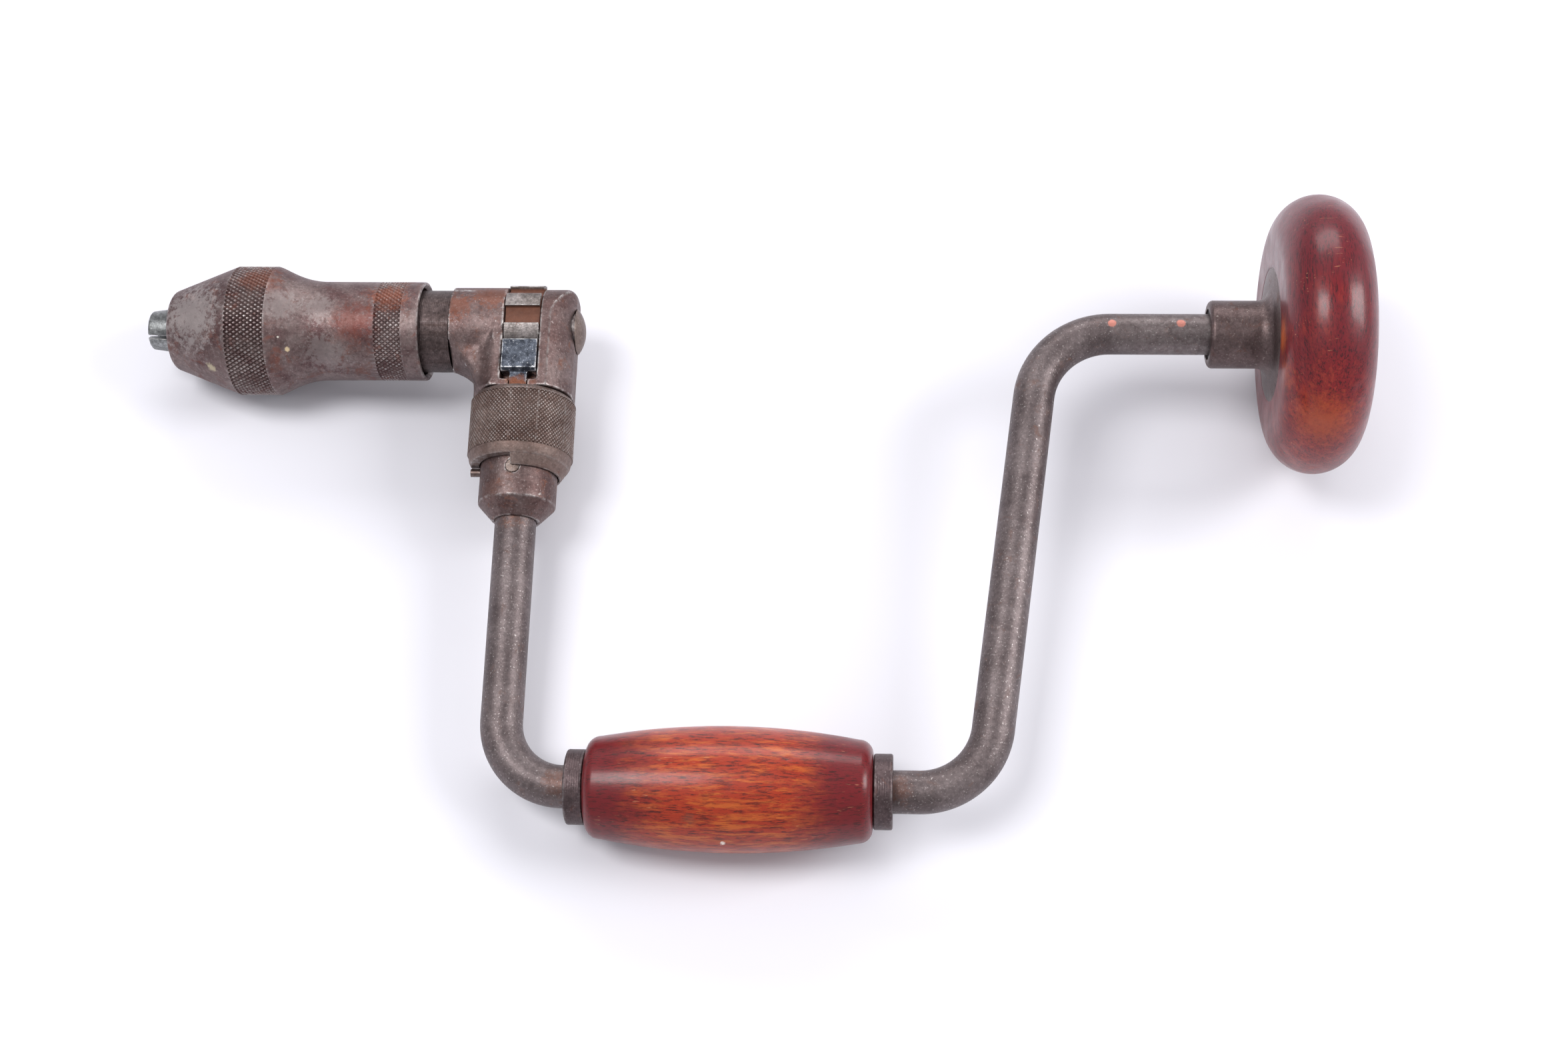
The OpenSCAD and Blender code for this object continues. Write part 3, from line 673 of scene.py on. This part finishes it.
@dataclass
class Chuck:
    """Knurled shell, two jaws and the spindle behind them."""

    nose_x: float = 6.7
    nose_r: float = 11.3
    nose_round: float = 2.2
    nose_bore: float = 8.3
    shell_r: float = 17.8
    rear_r: float = 13.6
    bore_r: float = 12.0
    end_x: float = 77.4
    waist_x: float = 50.0
    bore_x: float = 21.0
    cone_bore: Point = (14.57, 10.56)
    mouth_ease: float = 0.25
    rim_ease: float = 0.4
    rim_round: float = 0.12
    front_knurl: Knurl = Knurl(25.2, 35.9, 17.8, 88, 1.9, 0.42, 6)
    rear_knurl: Knurl = Knurl(65.2, 72.6, 13.6, 66, 1.6, 0.32, 8, 0.25)
    columns: int = 528
    # Browned shell: brown and grey clouds, a painted highlight in pale grey on the cone, and pale scuffs.
    shell_steel: Steel = Steel(
        "browned_shell_steel", "#5a4444", "#786967", rust="#6b3a2d", rust_cover=0.5, rust_mm=6.0, speckle=0.3,
        wear=0.6, hollow_cover=0.3, hollow="#46302a", mottle=0.3, marks_and_highlights=(
            # Painted highlight: a pale grey patch on the near side of the cone.
            MarkOrHighlight((15.0, -1.0, 13.0), 11.0, "#a8a09e", 0.62, 0.6, 1.9),
            MarkOrHighlight((40.0, 1.0, 16.0), 5.5, "#928987", 0.5, 0.6, 1.9),
            MarkOrHighlight((50.0, 1.0, 14.0), 5.5, "#928987", 0.45, 0.6, 1.9),
            MarkOrHighlight((52.0, -10.5, 9.0), 7.5, "#8f8684", 0.45, 0.6, 2.0),
            MarkOrHighlight((69.0, 5.0, 12.5), 6.5, "#8a4a30", 0.6, 0.7, 1.5),
            MarkOrHighlight((33.0, 9.0, 15.5), 7.0, "#7c452f", 0.5, 0.7, 1.5),
            MarkOrHighlight((60.0, -3.0, 13.6), 8.0, "#6a3226", 0.5, 0.7, 1.6),
            MarkOrHighlight((42.0, -10.6, 11.4), 0.95, "#dcc6a2", 1.0, 0.35, 0.7),
            MarkOrHighlight((39.7, -7.8, 13.8), 0.4, "#cfc8bd", 1.0, 0.4, 0.6),
            MarkOrHighlight((20.0, -14.2, 7.2), 1.7, "#b9ae93", 0.8, 0.6, 1.2)))
    # Ground jaws: the brightest metal, cool grey with a tight sheen.
    jaw_steel: Steel = Steel(
        "ground_jaw_steel", "#6b6c6c", "#8d8f8f", rust="#57463d", rust_cover=0.3, rust_mm=3.0, speckle=0.2,
        wear=0.8, roughness=0.33, metallic=0.95, cloud_mm=4.0)
    # Turned neck: dark brown with fine rings round it.
    neck_steel: Steel = Steel(
        "turned_neck_steel", "#463b3a", "#574b4a", rust="#55392f", rust_cover=0.3, lines_mm=0.5, speckle=0.12,
        wear=0.3, roughness=0.4)

    def outline(self) -> list[Union[Point, Knurl]]:
        """Closed outline of the shell: nose, cone, knurl, waist, rear, rim and bore."""
        front, rear = self.front_knurl, self.rear_knurl
        points: list[Union[Point, Knurl]] = [(self.nose_x, self.nose_bore + self.mouth_ease)]
        points += arc((self.nose_x + self.nose_round, self.nose_r - self.nose_round), self.nose_round,
                      180, 109.4)
        points += line(points[-1], (front.start, front.radius), 24)
        points += [front, (front.end, front.radius)]
        for i in range(1, 33):
            share = i / 32
            drop = (1 + math.cos(math.pi * share**0.62)) / 2
            points.append((front.end + (self.waist_x - front.end) * share,
                           self.rear_r + 0.05 + (self.shell_r - self.rear_r - 0.05) * drop))
        points += line((self.waist_x, self.rear_r + 0.05), (rear.start, self.rear_r), 12)
        points += [rear, (rear.end, rear.radius)]
        rim = self.end_x - self.rim_ease
        points += line((rear.end, self.rear_r), (rim, self.rear_r), 12)
        points += [(self.end_x - self.rim_round, self.rear_r - self.rim_round),
                   (self.end_x, self.rear_r - self.rim_ease), (self.end_x, self.bore_r + 0.85),
                   (self.end_x - 0.8, self.bore_r), (self.bore_x, self.bore_r),
                   (self.bore_x, self.cone_bore[1]), (self.cone_bore[0], self.nose_bore),
                   (self.nose_x + self.mouth_ease, self.nose_bore)]
        return points

    def build(self) -> None:
        """Builds and dresses every piece of the chuck."""
        shell = lathe(self.outline(), self.columns)
        piece("knurled_shell", shell, Body.SHELL, self.shell_steel.material(),
              ("chuck_shell",), 28)
        jaw_finish = self.jaw_steel.material()
        for node, body in (("jaw_upper", Body.JAW_UPPER), ("jaw_lower", Body.JAW_LOWER)):
            settle(softened(node, node + "_ground", 0.2, 2), body, jaw_finish, (node,), 60)
        dress(("chuck_spindle",), self.neck_steel.material())
        dress(("guide_ring", "jaw_spring"), jaw_finish)


@dataclass
class Ratchet:
    """Forged head with its wheel, pawls, cam ring and small parts."""

    arm_x: float = 105.7
    ring_top: float = 20.8
    ring_r: float = 14.25
    ring_bore: float = 12.0
    knurl_end: float = 37.4
    ring_foot: float = 40.3
    skirt_end: float = 43.0
    skirt_r: float = 11.3
    skirt_bore: float = 10.8
    stem_end: float = 38.4
    skirt_turn: float = 1.8
    ring_knurl: Knurl = Knurl(22.2, 37.4, 14.25, 84, 1.12, 0.28, 6)
    columns: int = 504
    head_blends: tuple[tuple[Triple, float, int], ...] = (((92.0, -13.0, 8.0), 9.5, 160),
                                                          ((92.0, -13.0, -8.0), 9.5, 160))
    # Forged head: a broad brown sheen, bright along its edges, rusty towards the pocket.
    head_steel: Steel = Steel(
        "forged_head_steel", "#5a4644", "#736361", rust="#73442f", rust_cover=0.42, rust_mm=4.0, speckle=0.4,
        wear=0.85, roughness=0.4, edge_at=(0.504, 0.53), mottle=0.3, marks_and_highlights=(
            MarkOrHighlight((88.0, 3.0, 12.0), 5.0, "#7d4833", 0.5, 0.6, 1.9),
            MarkOrHighlight((97.0, 7.0, 10.5), 7.0, "#80482f", 0.45, 0.6, 1.8),
            MarkOrHighlight((105.7, -17.0, 10.0), 6.5, "#7c4a31", 0.8, 0.7, 0.9),
            MarkOrHighlight((100.0, -49.0, 9.0), 5.0, "#6d4436", 0.3, 0.9, 1.2)))
    # Hardened wheel: bright tooth tops over rusty gaps.
    wheel_steel: Steel = Steel(
        "worn_wheel_steel", "#625b58", "#7f7876", rust="#7a513c", rust_cover=0.35, hollow="#4a3024",
        hollow_cover=0.6, wear=0.9, roughness=0.36, metallic=0.9, rust_below=12.2, edge_at=(0.505, 0.54))
    # Blued pawl: blue-black and shiny, with chipped bright edges.
    pawl_steel: Steel = Steel(
        "blued_pawl_steel", "#2c2f37", "#5a5f69", rust="#54494a", rust_cover=0.3, speckle=0.6, wear=1.0,
        roughness=0.3, metallic=0.9, hollow="#17181b", cloud_mm=3.0, edge_at=(0.502, 0.52), bright="#c9c9cb",
        marks_and_highlights=(MarkOrHighlight((105.7, -23.0, 10.0), 6.0, "#6b4230", 0.95, 0.3, 0.4),))
    # Knurled ring: mid brown, lighter on the tips of the diamonds.
    ring_steel: Steel = Steel(
        "browned_ring_steel", "#6b5852", "#7e6d67", rust="#744737", rust_cover=0.35, wear=0.55, speckle=0.2,
        hollow_cover=0.25, hollow="#4a362f", mottle=0.25, roughness=0.45)
    # Screw and pins: an even warm brown.
    screw_steel: Steel = Steel(
        "browned_screw_steel", "#5e4d48", "#75665f", rust="#74493a", rust_cover=0.3, speckle=0.3, wear=0.15,
        roughness=0.34, mottle=0.25)
    # Wheel key, click ball and springs: plain light grey.
    pin_steel: Steel = Steel(
        "rubbed_pin_steel", "#8d8884", "#a39e9a", rust="#6f4a39", rust_cover=0.35, speckle=0.3,
        roughness=0.36)

    def ring(self) -> Shape:
        """The cam ring: a knurled band above, and below it half a skirt."""
        band = self.ring_knurl
        outline: list[Union[Point, Knurl]] = [
            (self.ring_top, self.ring_bore), (self.ring_top, self.ring_r - 1.05),
            (self.ring_top + 0.15, self.ring_r - 0.8), (band.start - 0.15, self.ring_r - 0.08),
            (band.start, self.ring_r), band, (self.knurl_end, self.ring_r),
            (self.knurl_end + 0.02, self.ring_r - 0.22), (self.knurl_end + 2.0, self.ring_r - 0.65),
            (self.ring_foot - 0.08, self.ring_r - 1.12), (self.ring_foot, self.ring_r - 1.25),
            (self.ring_foot, self.skirt_bore), (self.stem_end, self.skirt_bore),
            (self.stem_end, self.ring_bore)]
        points, faces = lathe(outline, self.columns)
        top, rim = (self.ring_foot - 0.2, self.ring_r - 1.13), (self.skirt_end - 0.15, self.skirt_r + 0.1)
        bore = self.skirt_bore + 0.01
        section = [top] + line(top, rim, 10) + [(self.skirt_end, self.skirt_r - 0.08), (self.skirt_end, bore)]
        section += line((self.skirt_end, bore), (top[0], bore), 8)
        steps, size = 160, len(section)
        angles = np.radians(np.linspace(self.skirt_turn - 90, self.skirt_turn + 90, steps + 1))
        skirt = np.array([(along, r * math.cos(a), r * math.sin(a)) for a in angles for along, r in section])
        first = len(points)
        for i in range(steps):
            for k in range(size):
                a, b = first + i * size + k, first + i * size + (k + 1) % size
                faces.append([a, b, b + size, a + size])
        faces.append([first + k for k in range(size)])
        faces.append([first + steps * size + k for k in range(size)])
        return on_arm(np.concatenate([points, skirt]), self.arm_x), faces

    def build(self) -> None:
        """Builds and dresses every piece of the ratchet."""
        settle(softened("head_fork", "forged_head", 0.3, 4, self.head_blends), Body.FRAME,
               self.head_steel.material(), ("head_fork",), 60)
        settle(softened("ratchet_wheel", "toothed_wheel", 0.22, 2), Body.SPINDLE,
               self.wheel_steel.material(), ("ratchet_wheel",), 60)
        blued = self.pawl_steel.material()
        for node, body in (("pawl_front", Body.PAWL_FRONT), ("pawl_back", Body.PAWL_BACK)):
            settle(softened(node, node + "_blued", 0.2, 2), body, blued, (node,), 60)
        screw = self.screw_steel.material()
        settle(softened("end_screw", "domed_end_screw", 0.2, 2), Body.SPINDLE, screw,
               ("end_screw",), 60)
        piece("knurled_cam_ring", self.ring(), Body.CAM_RING, self.ring_steel.material(),
              ("cam_ring",), 28)
        pin = self.pin_steel.material()
        dress(("stem_pin", "stop_pin"), screw)
        dress(("wheel_key", "detent_ball", "detent_spring", "pawl_spring_front", "pawl_spring_back"), pin)


@dataclass
class Crank:
    """Bent rod with its ferrules and the wooden grip."""

    throw: float = 127.4
    rod_r: float = 5.55
    arm_x: float = 105.7
    rear_arm_x: float = 246.7
    rear_lean: float = 6.9
    bend_r: Triple = (17.0, 19.0, 21.0)
    socket_top: float = 25.5
    shoulder_x: float = 303.0
    pivot_end: float = 317.0
    pivot_r: float = 4.0
    grip_mid: float = 165.85
    grip_half: float = 36.8
    grip_r: float = 16.2
    grip_end_r: float = 13.2
    grip_round: float = 3.6
    ferrule_l: float = 4.9
    ferrule_r: float = 9.7
    ferrule_ease: float = 0.45
    ferrule_round: Point = (0.12, 0.15)
    gap: float = 0.15
    dents: int = 46
    dent_r: float = 15.6
    dent_reach: Point = (1.2, 3.4)
    dent_depth: Point = (0.03, 0.10)
    # Bent rod: grey-brown and nearly matt, speckled with bare grains.
    rod_steel: Steel = Steel(
        "browned_rod_steel", "#564b4b", "#6b6060", rust="#64463c", rust_cover=0.4, rust_mm=4.0, speckle=0.7,
        metallic=0.6, mottle=0.25, wear=0.2, roughness=0.36, bright="#b5afac", marks_and_highlights=(
            MarkOrHighlight((122.0, -127.4, 4.0), 5.0, "#70432f", 0.55, 0.9, 1.1),
            MarkOrHighlight((209.0, -127.4, 4.0), 5.0, "#70432f", 0.45, 0.9, 1.1),
            MarkOrHighlight((105.7, -56.5, 3.0), 4.5, "#7b4a30", 0.6, 0.9, 1.1),
            MarkOrHighlight((265.4, 0.9, 5.5), 1.35, "#b9776a", 0.9, 0.3, 0.35),
            MarkOrHighlight((283.9, 0.9, 5.5), 1.35, "#b9776a", 0.9, 0.3, 0.35)))
    # Ferrules: dark brown rings with faint turning marks.
    ferrule_steel: Steel = Steel(
        "browned_ferrule_steel", "#4d4041", "#5d4f50", rust="#623a2f", rust_cover=0.35, speckle=0.3, wear=0.3,
        roughness=0.38, mottle=0.3, lines_mm=0.6)
    # Grip: glossy orange-red with dark pores, crimson at both ends.
    grip_wood: LacqueredWood = LacqueredWood(
        "lacquered_grip_wood", "#651016", "#962c12", "#360c0a", Grain.MAIN, gold="#bd6325",
        wear_centre=(165.0, -127.4, 0.0), wear_reach=30.0, wear_fade=17.0, scratches=0.35, marks_and_highlights=(
            MarkOrHighlight((137.5, -121.0, 13.5), 1.5, "#3a1a16", 0.75, 0.7, 1.4),
            MarkOrHighlight((140.5, -117.5, 12.5), 2.2, "#3a1a16", 0.7, 0.7, 1.6),
            MarkOrHighlight((157.0, -138.0, 12.5), 2.8, "#6a4030", 0.5, 0.9, 1.3),
            MarkOrHighlight((165.0, -142.7, 6.0), 0.9, "#e6d9cc", 0.9, 0.5, 1.6)))

    def path(self) -> list[tuple[float, float, float, float]]:
        """Centre line of the rod: x, y, direction in radians and radius of each ring."""
        front, rear, pad = self.bend_r
        lean = math.radians(self.rear_lean)
        bend2_x = self.rear_arm_x + (rear - self.throw) * math.tan(lean) - rear / math.cos(lean)
        bend3_x = self.rear_arm_x - pad * math.tan(lean) + pad / math.cos(lean)
        sweep = 90 - self.rear_lean
        rings = [(self.arm_x, -y, -math.pi / 2, self.rod_r) for y in np.linspace(self.socket_top,
                                                                               self.throw - front, 40)]
        bends = ((self.arm_x + front, front - self.throw, front, 180.0, 270.0),
                 (bend2_x, rear - self.throw, rear, 270.0, 270.0 + sweep),
                 (bend3_x, -pad, pad, 90.0 + sweep, 90.0))
        for x, y, radius, start, end in bends:
            way = math.pi / 2 if end > start else -math.pi / 2
            for a in np.radians(np.linspace(start, end, 37)):
                rings.append((x + radius * math.cos(a), y + radius * math.sin(a), a + way, self.rod_r))
        rings += [(self.shoulder_x, 0.0, 0.0, self.rod_r), (self.shoulder_x, 0.0, 0.0, self.pivot_r),
                  (self.pivot_end, 0.0, 0.0, self.pivot_r)]
        return rings

    def rod(self) -> Shape:
        """The rod swept along its centre line, with flat ends."""
        columns = 64
        turn = 2 * np.pi * np.arange(columns) / columns
        rings = []
        for x, y, heading, radius in self.path():
            side = np.array([-math.sin(heading), math.cos(heading), 0.0])
            ring = np.array([x, y, 0.0]) + radius * (np.cos(turn)[:, None] * side
                                                     + np.sin(turn)[:, None] * np.array([0.0, 0.0, 1.0]))
            rings.append(ring)
        faces: list[list[int]] = []
        for i in range(len(rings) - 1):
            for j in range(columns):
                after = (j + 1) % columns
                faces.append([i * columns + j, (i + 1) * columns + j, (i + 1) * columns + after,
                              i * columns + after])
        faces.append(list(range(columns)))
        faces.append([(len(rings) - 1) * columns + j for j in range(columns)])
        return np.concatenate(rings), faces

    def grip(self) -> Shape:
        """The barrel-shaped grip, with shallow dents."""
        half, rise = self.grip_half - self.grip_round, self.grip_r - self.grip_end_r
        swell = (half * half + rise * rise) / (2 * rise)
        lean = math.degrees(math.asin(half / swell))
        low, high = self.grip_mid - self.grip_half, self.grip_mid + self.grip_half
        shoulder = self.grip_end_r - self.grip_round
        bore = self.rod_r + 0.05
        outline: list[Union[Point, Knurl]] = [(low, bore)]
        outline += arc((low + self.grip_round, shoulder), self.grip_round, 180, 90 + lean, 14)
        outline += arc((self.grip_mid, self.grip_r - swell), swell, 90 + lean, 90 - lean, 120)[1:-1]
        outline += arc((high - self.grip_round, shoulder), self.grip_round, 90 - lean, 0, 14)
        outline.append((high, bore))
        points, faces = lathe(outline, 256)
        draw = np.random.default_rng(11)
        dents = []
        for _ in range(self.dents):
            along, turn = draw.uniform(low + 4, high - 4), draw.uniform(0, 2 * math.pi)
            dents.append(((along, self.dent_r * math.cos(turn), self.dent_r * math.sin(turn)),
                          draw.uniform(*self.dent_reach), draw.uniform(*self.dent_depth)))
        points = dented(points, dents)
        points[:, 1] -= self.throw
        return points, faces

    def ferrule(self, low: float) -> Shape:
        """One ferrule, with its outer edges eased."""
        high, outer, bore = low + self.ferrule_l, self.ferrule_r, self.rod_r + 0.02
        ease = self.ferrule_ease
        turn_in, drop = self.ferrule_round
        outline: list[Union[Point, Knurl]] = [(low, bore)] + line((low, bore), (low, outer - ease), 6)
        outline += [(low + turn_in, outer - drop), (low + ease, outer)]
        outline += line((low + ease, outer), (high - ease, outer), 9)
        outline += [(high - turn_in, outer - drop), (high, outer - ease)]
        outline += line((high, outer - ease), (high, bore), 6)
        points, faces = lathe(outline, 128)
        points[:, 1] -= self.throw
        return points, faces

    def build(self) -> None:
        """Builds and dresses every piece of the crank."""
        piece("bent_rod", self.rod(), Body.FRAME, self.rod_steel.material(), ("crank_rod",), 50)
        finish = self.ferrule_steel.material()
        low, high = self.grip_mid - self.grip_half, self.grip_mid + self.grip_half
        piece("ferrule_ring_front", self.ferrule(low - self.gap - self.ferrule_l), Body.FRAME,
              finish, ("ferrule_front",), 60)
        piece("ferrule_ring_rear", self.ferrule(high + self.gap), Body.FRAME, finish,
              ("ferrule_rear",), 60)
        piece("turned_grip", self.grip(), Body.GRIP, self.grip_wood.material(), ("grip_wood",), 50)


@dataclass
class BreastPad:
    """Flanged quill with the wooden pad and its bearing."""

    pad_x: float = 308.3
    pad_r: float = 37.7
    rim_r: float = 11.8
    back_x: float = 331.9
    dome: float = 1.2
    neck_x: float = 291.5
    neck_r: float = 9.2
    neck_round: float = 1.3
    fillet: float = 3.4
    flange_r: float = 18.05
    flange_t: float = 3.0
    boss_r: float = 9.6
    boss_end: float = 321.9
    bore_r: float = 6.9
    pivot_bore: float = 4.05
    cavity_r: float = 7.4
    web: Point = (307.15, 311.2)
    dents: int = 70
    dent_reach: Point = (1.2, 4.0)
    dent_depth: Point = (0.03, 0.12)
    # Quill: grey-brown with a soft sheen.
    quill_steel: Steel = Steel(
        "browned_quill_steel", "#564746", "#6a5b5a", rust="#664238", rust_cover=0.4, rust_mm=5.0, speckle=0.5,
        wear=0.3, roughness=0.36, bright="#a8a19a", cloud_mm=7.0, mottle=0.25)
    # Pad: deep crimson gloss, worn to orange where a palm rubs its lower front.
    pad_wood: LacqueredWood = LacqueredWood(
        "lacquered_pad_wood", "#5e0f1b", "#7c1b1c", "#300a10", Grain.ARM, gold="#9a3a28",
        wear_centre=(316.0, -66.0, 10.0), wear_reach=22.0, wear_fade=18.0, scratches=0.6, marks_and_highlights=(
            MarkOrHighlight((310.0, -9.0, 20.0), 6.5, "#b8561f", 0.8, 0.8, 0.8),
            MarkOrHighlight((312.0, -19.0, 19.0), 7.0, "#ad4d20", 0.7, 0.9, 0.9),
            MarkOrHighlight((318.0, -31.0, 18.0), 11.0, "#a34620", 0.7, 0.9, 0.9),
            MarkOrHighlight((316.0, 22.0, 28.0), 2.0, "#3d1a18", 0.7, 0.7, 1.6)))
    # Bearing: polished hard steel, bright and even.
    bearing_steel: Steel = Steel(
        "hardened_bearing_steel", "#a8aaab", "#c4c6c8", rust_cover=0.05, speckle=0.0, roughness=0.2,
        metallic=1.0)

    def quill(self) -> Shape:
        """The quill: neck, flange and the boss inside the pad."""
        foot = self.pad_x - 0.35
        outline: list[Union[Point, Knurl]] = [(self.neck_x, self.bore_r)]
        outline += arc((self.neck_x + self.neck_round, self.neck_r - self.neck_round), self.neck_round,
                       180, 90)
        outline += [(self.neck_x + self.neck_round + i, self.neck_r) for i in range(1, 12)]
        outline += arc((foot - self.fillet, self.neck_r + self.fillet), self.fillet, 270, 360, 12)
        outline += [(self.pad_x - 0.02, self.flange_r - 0.2), (self.pad_x + 0.1, self.flange_r),
                    (self.pad_x + self.flange_t, self.flange_r), (self.pad_x + self.flange_t, self.boss_r),
                    (self.boss_end, self.boss_r), (self.boss_end, self.cavity_r),
                    (self.web[1], self.cavity_r), (self.web[1], self.pivot_bore),
                    (self.web[0], self.pivot_bore), (self.web[0], self.bore_r)]
        return lathe(outline, 192)

    def pad(self) -> Shape:
        """The pad, with a full round rim, a recess for the flange and shallow dents."""
        floor = self.pad_x + self.flange_t + 0.02
        outline: list[Union[Point, Knurl]] = [(self.pad_x + 0.1, self.flange_r + 0.02),
                                              (self.pad_x, self.flange_r + 0.15)]
        outline += line((self.pad_x, self.flange_r), (self.pad_x, self.pad_r - self.rim_r), 8)[:-1]
        outline += arc((self.pad_x + self.rim_r, self.pad_r - self.rim_r), self.rim_r, 180, 0, 96)
        middle = (self.back_x + self.dome * 0.75, (self.pad_r - self.rim_r) / 2)
        outline += line((self.back_x, self.pad_r - self.rim_r), middle, 8)
        outline += line(middle, (self.back_x + self.dome, 0.0), 6)
        outline += [(self.boss_end + 0.02, 0.0), (self.boss_end + 0.02, self.boss_r + 0.02),
                    (floor, self.boss_r + 0.02), (floor, self.flange_r + 0.02)]
        points, faces = lathe(outline, 384)
        draw = np.random.default_rng(5)
        dents = []
        for _ in range(self.dents):
            turn, round_rim = draw.uniform(0, 2 * math.pi), math.radians(draw.uniform(20, 160))
            r = self.pad_r - self.rim_r + self.rim_r * math.sin(round_rim)
            centre = (self.pad_x + self.rim_r - self.rim_r * math.cos(round_rim), r * math.cos(turn),
                      r * math.sin(turn))
            dents.append((centre, draw.uniform(*self.dent_reach), draw.uniform(*self.dent_depth)))
        return dented(points, dents), faces

    def build(self) -> None:
        """Builds and dresses every piece of the breast pad."""
        quill = self.quill_steel.material()
        piece("turned_quill", self.quill(), Body.PAD, quill, ("quill",), 50)
        piece("turned_pad", self.pad(), Body.PAD, self.pad_wood.material(), ("pad_wood",), 50)
        dress(("dust_washer",), Felt().material())
        dress(("thrust_race_front", "thrust_race_rear", "bearing_balls"), self.bearing_steel.material())
        dress(("retaining_nut",), quill)


# ---------------------------------------------------------------- surroundings


@dataclass(frozen=True)
class SoftBox:
    """One studio light: where it stands, its size in mm, its power and colour."""

    name: str
    place: Triple
    size: Point
    power: float
    colour: str = "#ffffff"


@dataclass
class Studio:
    """Pale floor, soft lights and the camera."""

    target: Triple = (177.86, -54.993, 0.0)
    distance: float = 586.62
    swing: float = 3.574
    tilt: float = 18.671
    roll: float = 1.657
    lens: float = 50.51
    floor_base: float = -16.0
    floor_slope: Point = (-0.0689, -0.0856)
    floor_size: float = 6000.0
    sky: float = 0.62
    lights: tuple[SoftBox, ...] = (
        SoftBox("left_softbox", (-260.0, 40.0, 1050.0), (380.0, 520.0), 7.0),
        SoftBox("right_softbox", (1150.0, 120.0, 620.0), (420.0, 620.0), 8.5),
        SoftBox("top_softbox", (200.0, 1050.0, 620.0), (900.0, 420.0), 6.0))

    def floor(self) -> None:
        """A plain sheet of white paper that the brace lies on."""
        half = self.floor_size / 2
        corners = [(self.target[0] + x * half, self.target[1] + y * half)
                   for x, y in ((-1, -1), (1, -1), (1, 1), (-1, 1))]
        slope_x, slope_y = self.floor_slope
        points = [(x * MM, y * MM, (self.floor_base + slope_x * x + slope_y * y) * MM) for x, y in corners]
        mesh = bpy.data.meshes.new("paper_floor")
        mesh.from_pydata(points, [], [[0, 1, 2, 3]])
        sheet = bpy.data.objects.new("paper_floor", mesh)
        bpy.context.scene.collection.objects.link(sheet)
        made, shader, place = start_finish("matt_white_paper")
        tree = made.node_tree
        mottle = add_node(tree, "TexNoise", {}, {"Vector": place, "Scale": 1 / (120 * MM), "Detail": 3.0})
        shade = add_node(tree, "Mix", {"data_type": "RGBA"},
                         {0: mottle, "A": linear("#dddce2"), "B": linear("#e2e1e7")})
        tree.links.new(output(shade), shader.inputs["Base Color"])
        shader.inputs["Roughness"].default_value = 0.75
        shader.inputs["Specular IOR Level"].default_value = 0.2
        mesh.materials.append(made)

    def light(self) -> None:
        """Soft boxes on both sides and an even sky."""
        for box in self.lights:
            data = bpy.data.lights.new(box.name, "AREA")
            data.shape = "RECTANGLE"
            data.size, data.size_y = box.size[0] * MM, box.size[1] * MM
            data.energy = box.power
            data.color = linear(box.colour)[:3]
            lamp = bpy.data.objects.new(box.name, data)
            lamp.location = Vector(box.place) * MM
            aim = Vector(self.target) * MM - lamp.location
            lamp.rotation_euler = aim.to_track_quat("-Z", "Y").to_euler()
            bpy.context.scene.collection.objects.link(lamp)
        world = bpy.data.worlds.new("even_sky")
        world.use_nodes = True
        ground = world.node_tree.nodes["Background"]
        ground.inputs["Color"].default_value = linear("#fafaff")
        ground.inputs["Strength"].default_value = self.sky
        bpy.context.scene.world = world

    def camera(self) -> None:
        """The camera, set by its swing, tilt and roll about the target."""
        swing, tilt, roll = (math.radians(a) for a in (self.swing, self.tilt, self.roll))
        back = Vector((math.sin(swing) * math.cos(tilt), -math.sin(tilt), math.cos(swing) * math.cos(tilt)))
        right = Vector((0, 1, 0)).cross(back).normalized()
        up = back.cross(right)
        side = math.cos(roll) * right + math.sin(roll) * up
        top = -math.sin(roll) * right + math.cos(roll) * up
        data = bpy.data.cameras.new("viewpoint")
        data.lens = self.lens
        data.sensor_width = 36.0
        eye = bpy.data.objects.new("viewpoint", data)
        bpy.context.scene.collection.objects.link(eye)
        turned = Matrix((side, top, back)).transposed().to_4x4()
        turned.translation = (Vector(self.target) + self.distance * back) * MM
        eye.matrix_world = turned
        bpy.context.scene.camera = eye

    def build(self) -> None:
        """Sets up the floor, the lights and the camera."""
        self.floor()
        self.light()
        self.camera()
        bpy.context.scene.view_settings.view_transform = "Standard"


def main() -> None:
    """Builds every sub-assembly in order."""
    logging.basicConfig(level=logging.INFO, format="%(name)s: %(message)s")
    for part in (Chuck(), Ratchet(), Crank(), BreastPad(), Studio()):
        part.build()
        log.info("%s is finished", type(part).__name__)


if __name__ == "__main__":
    main()
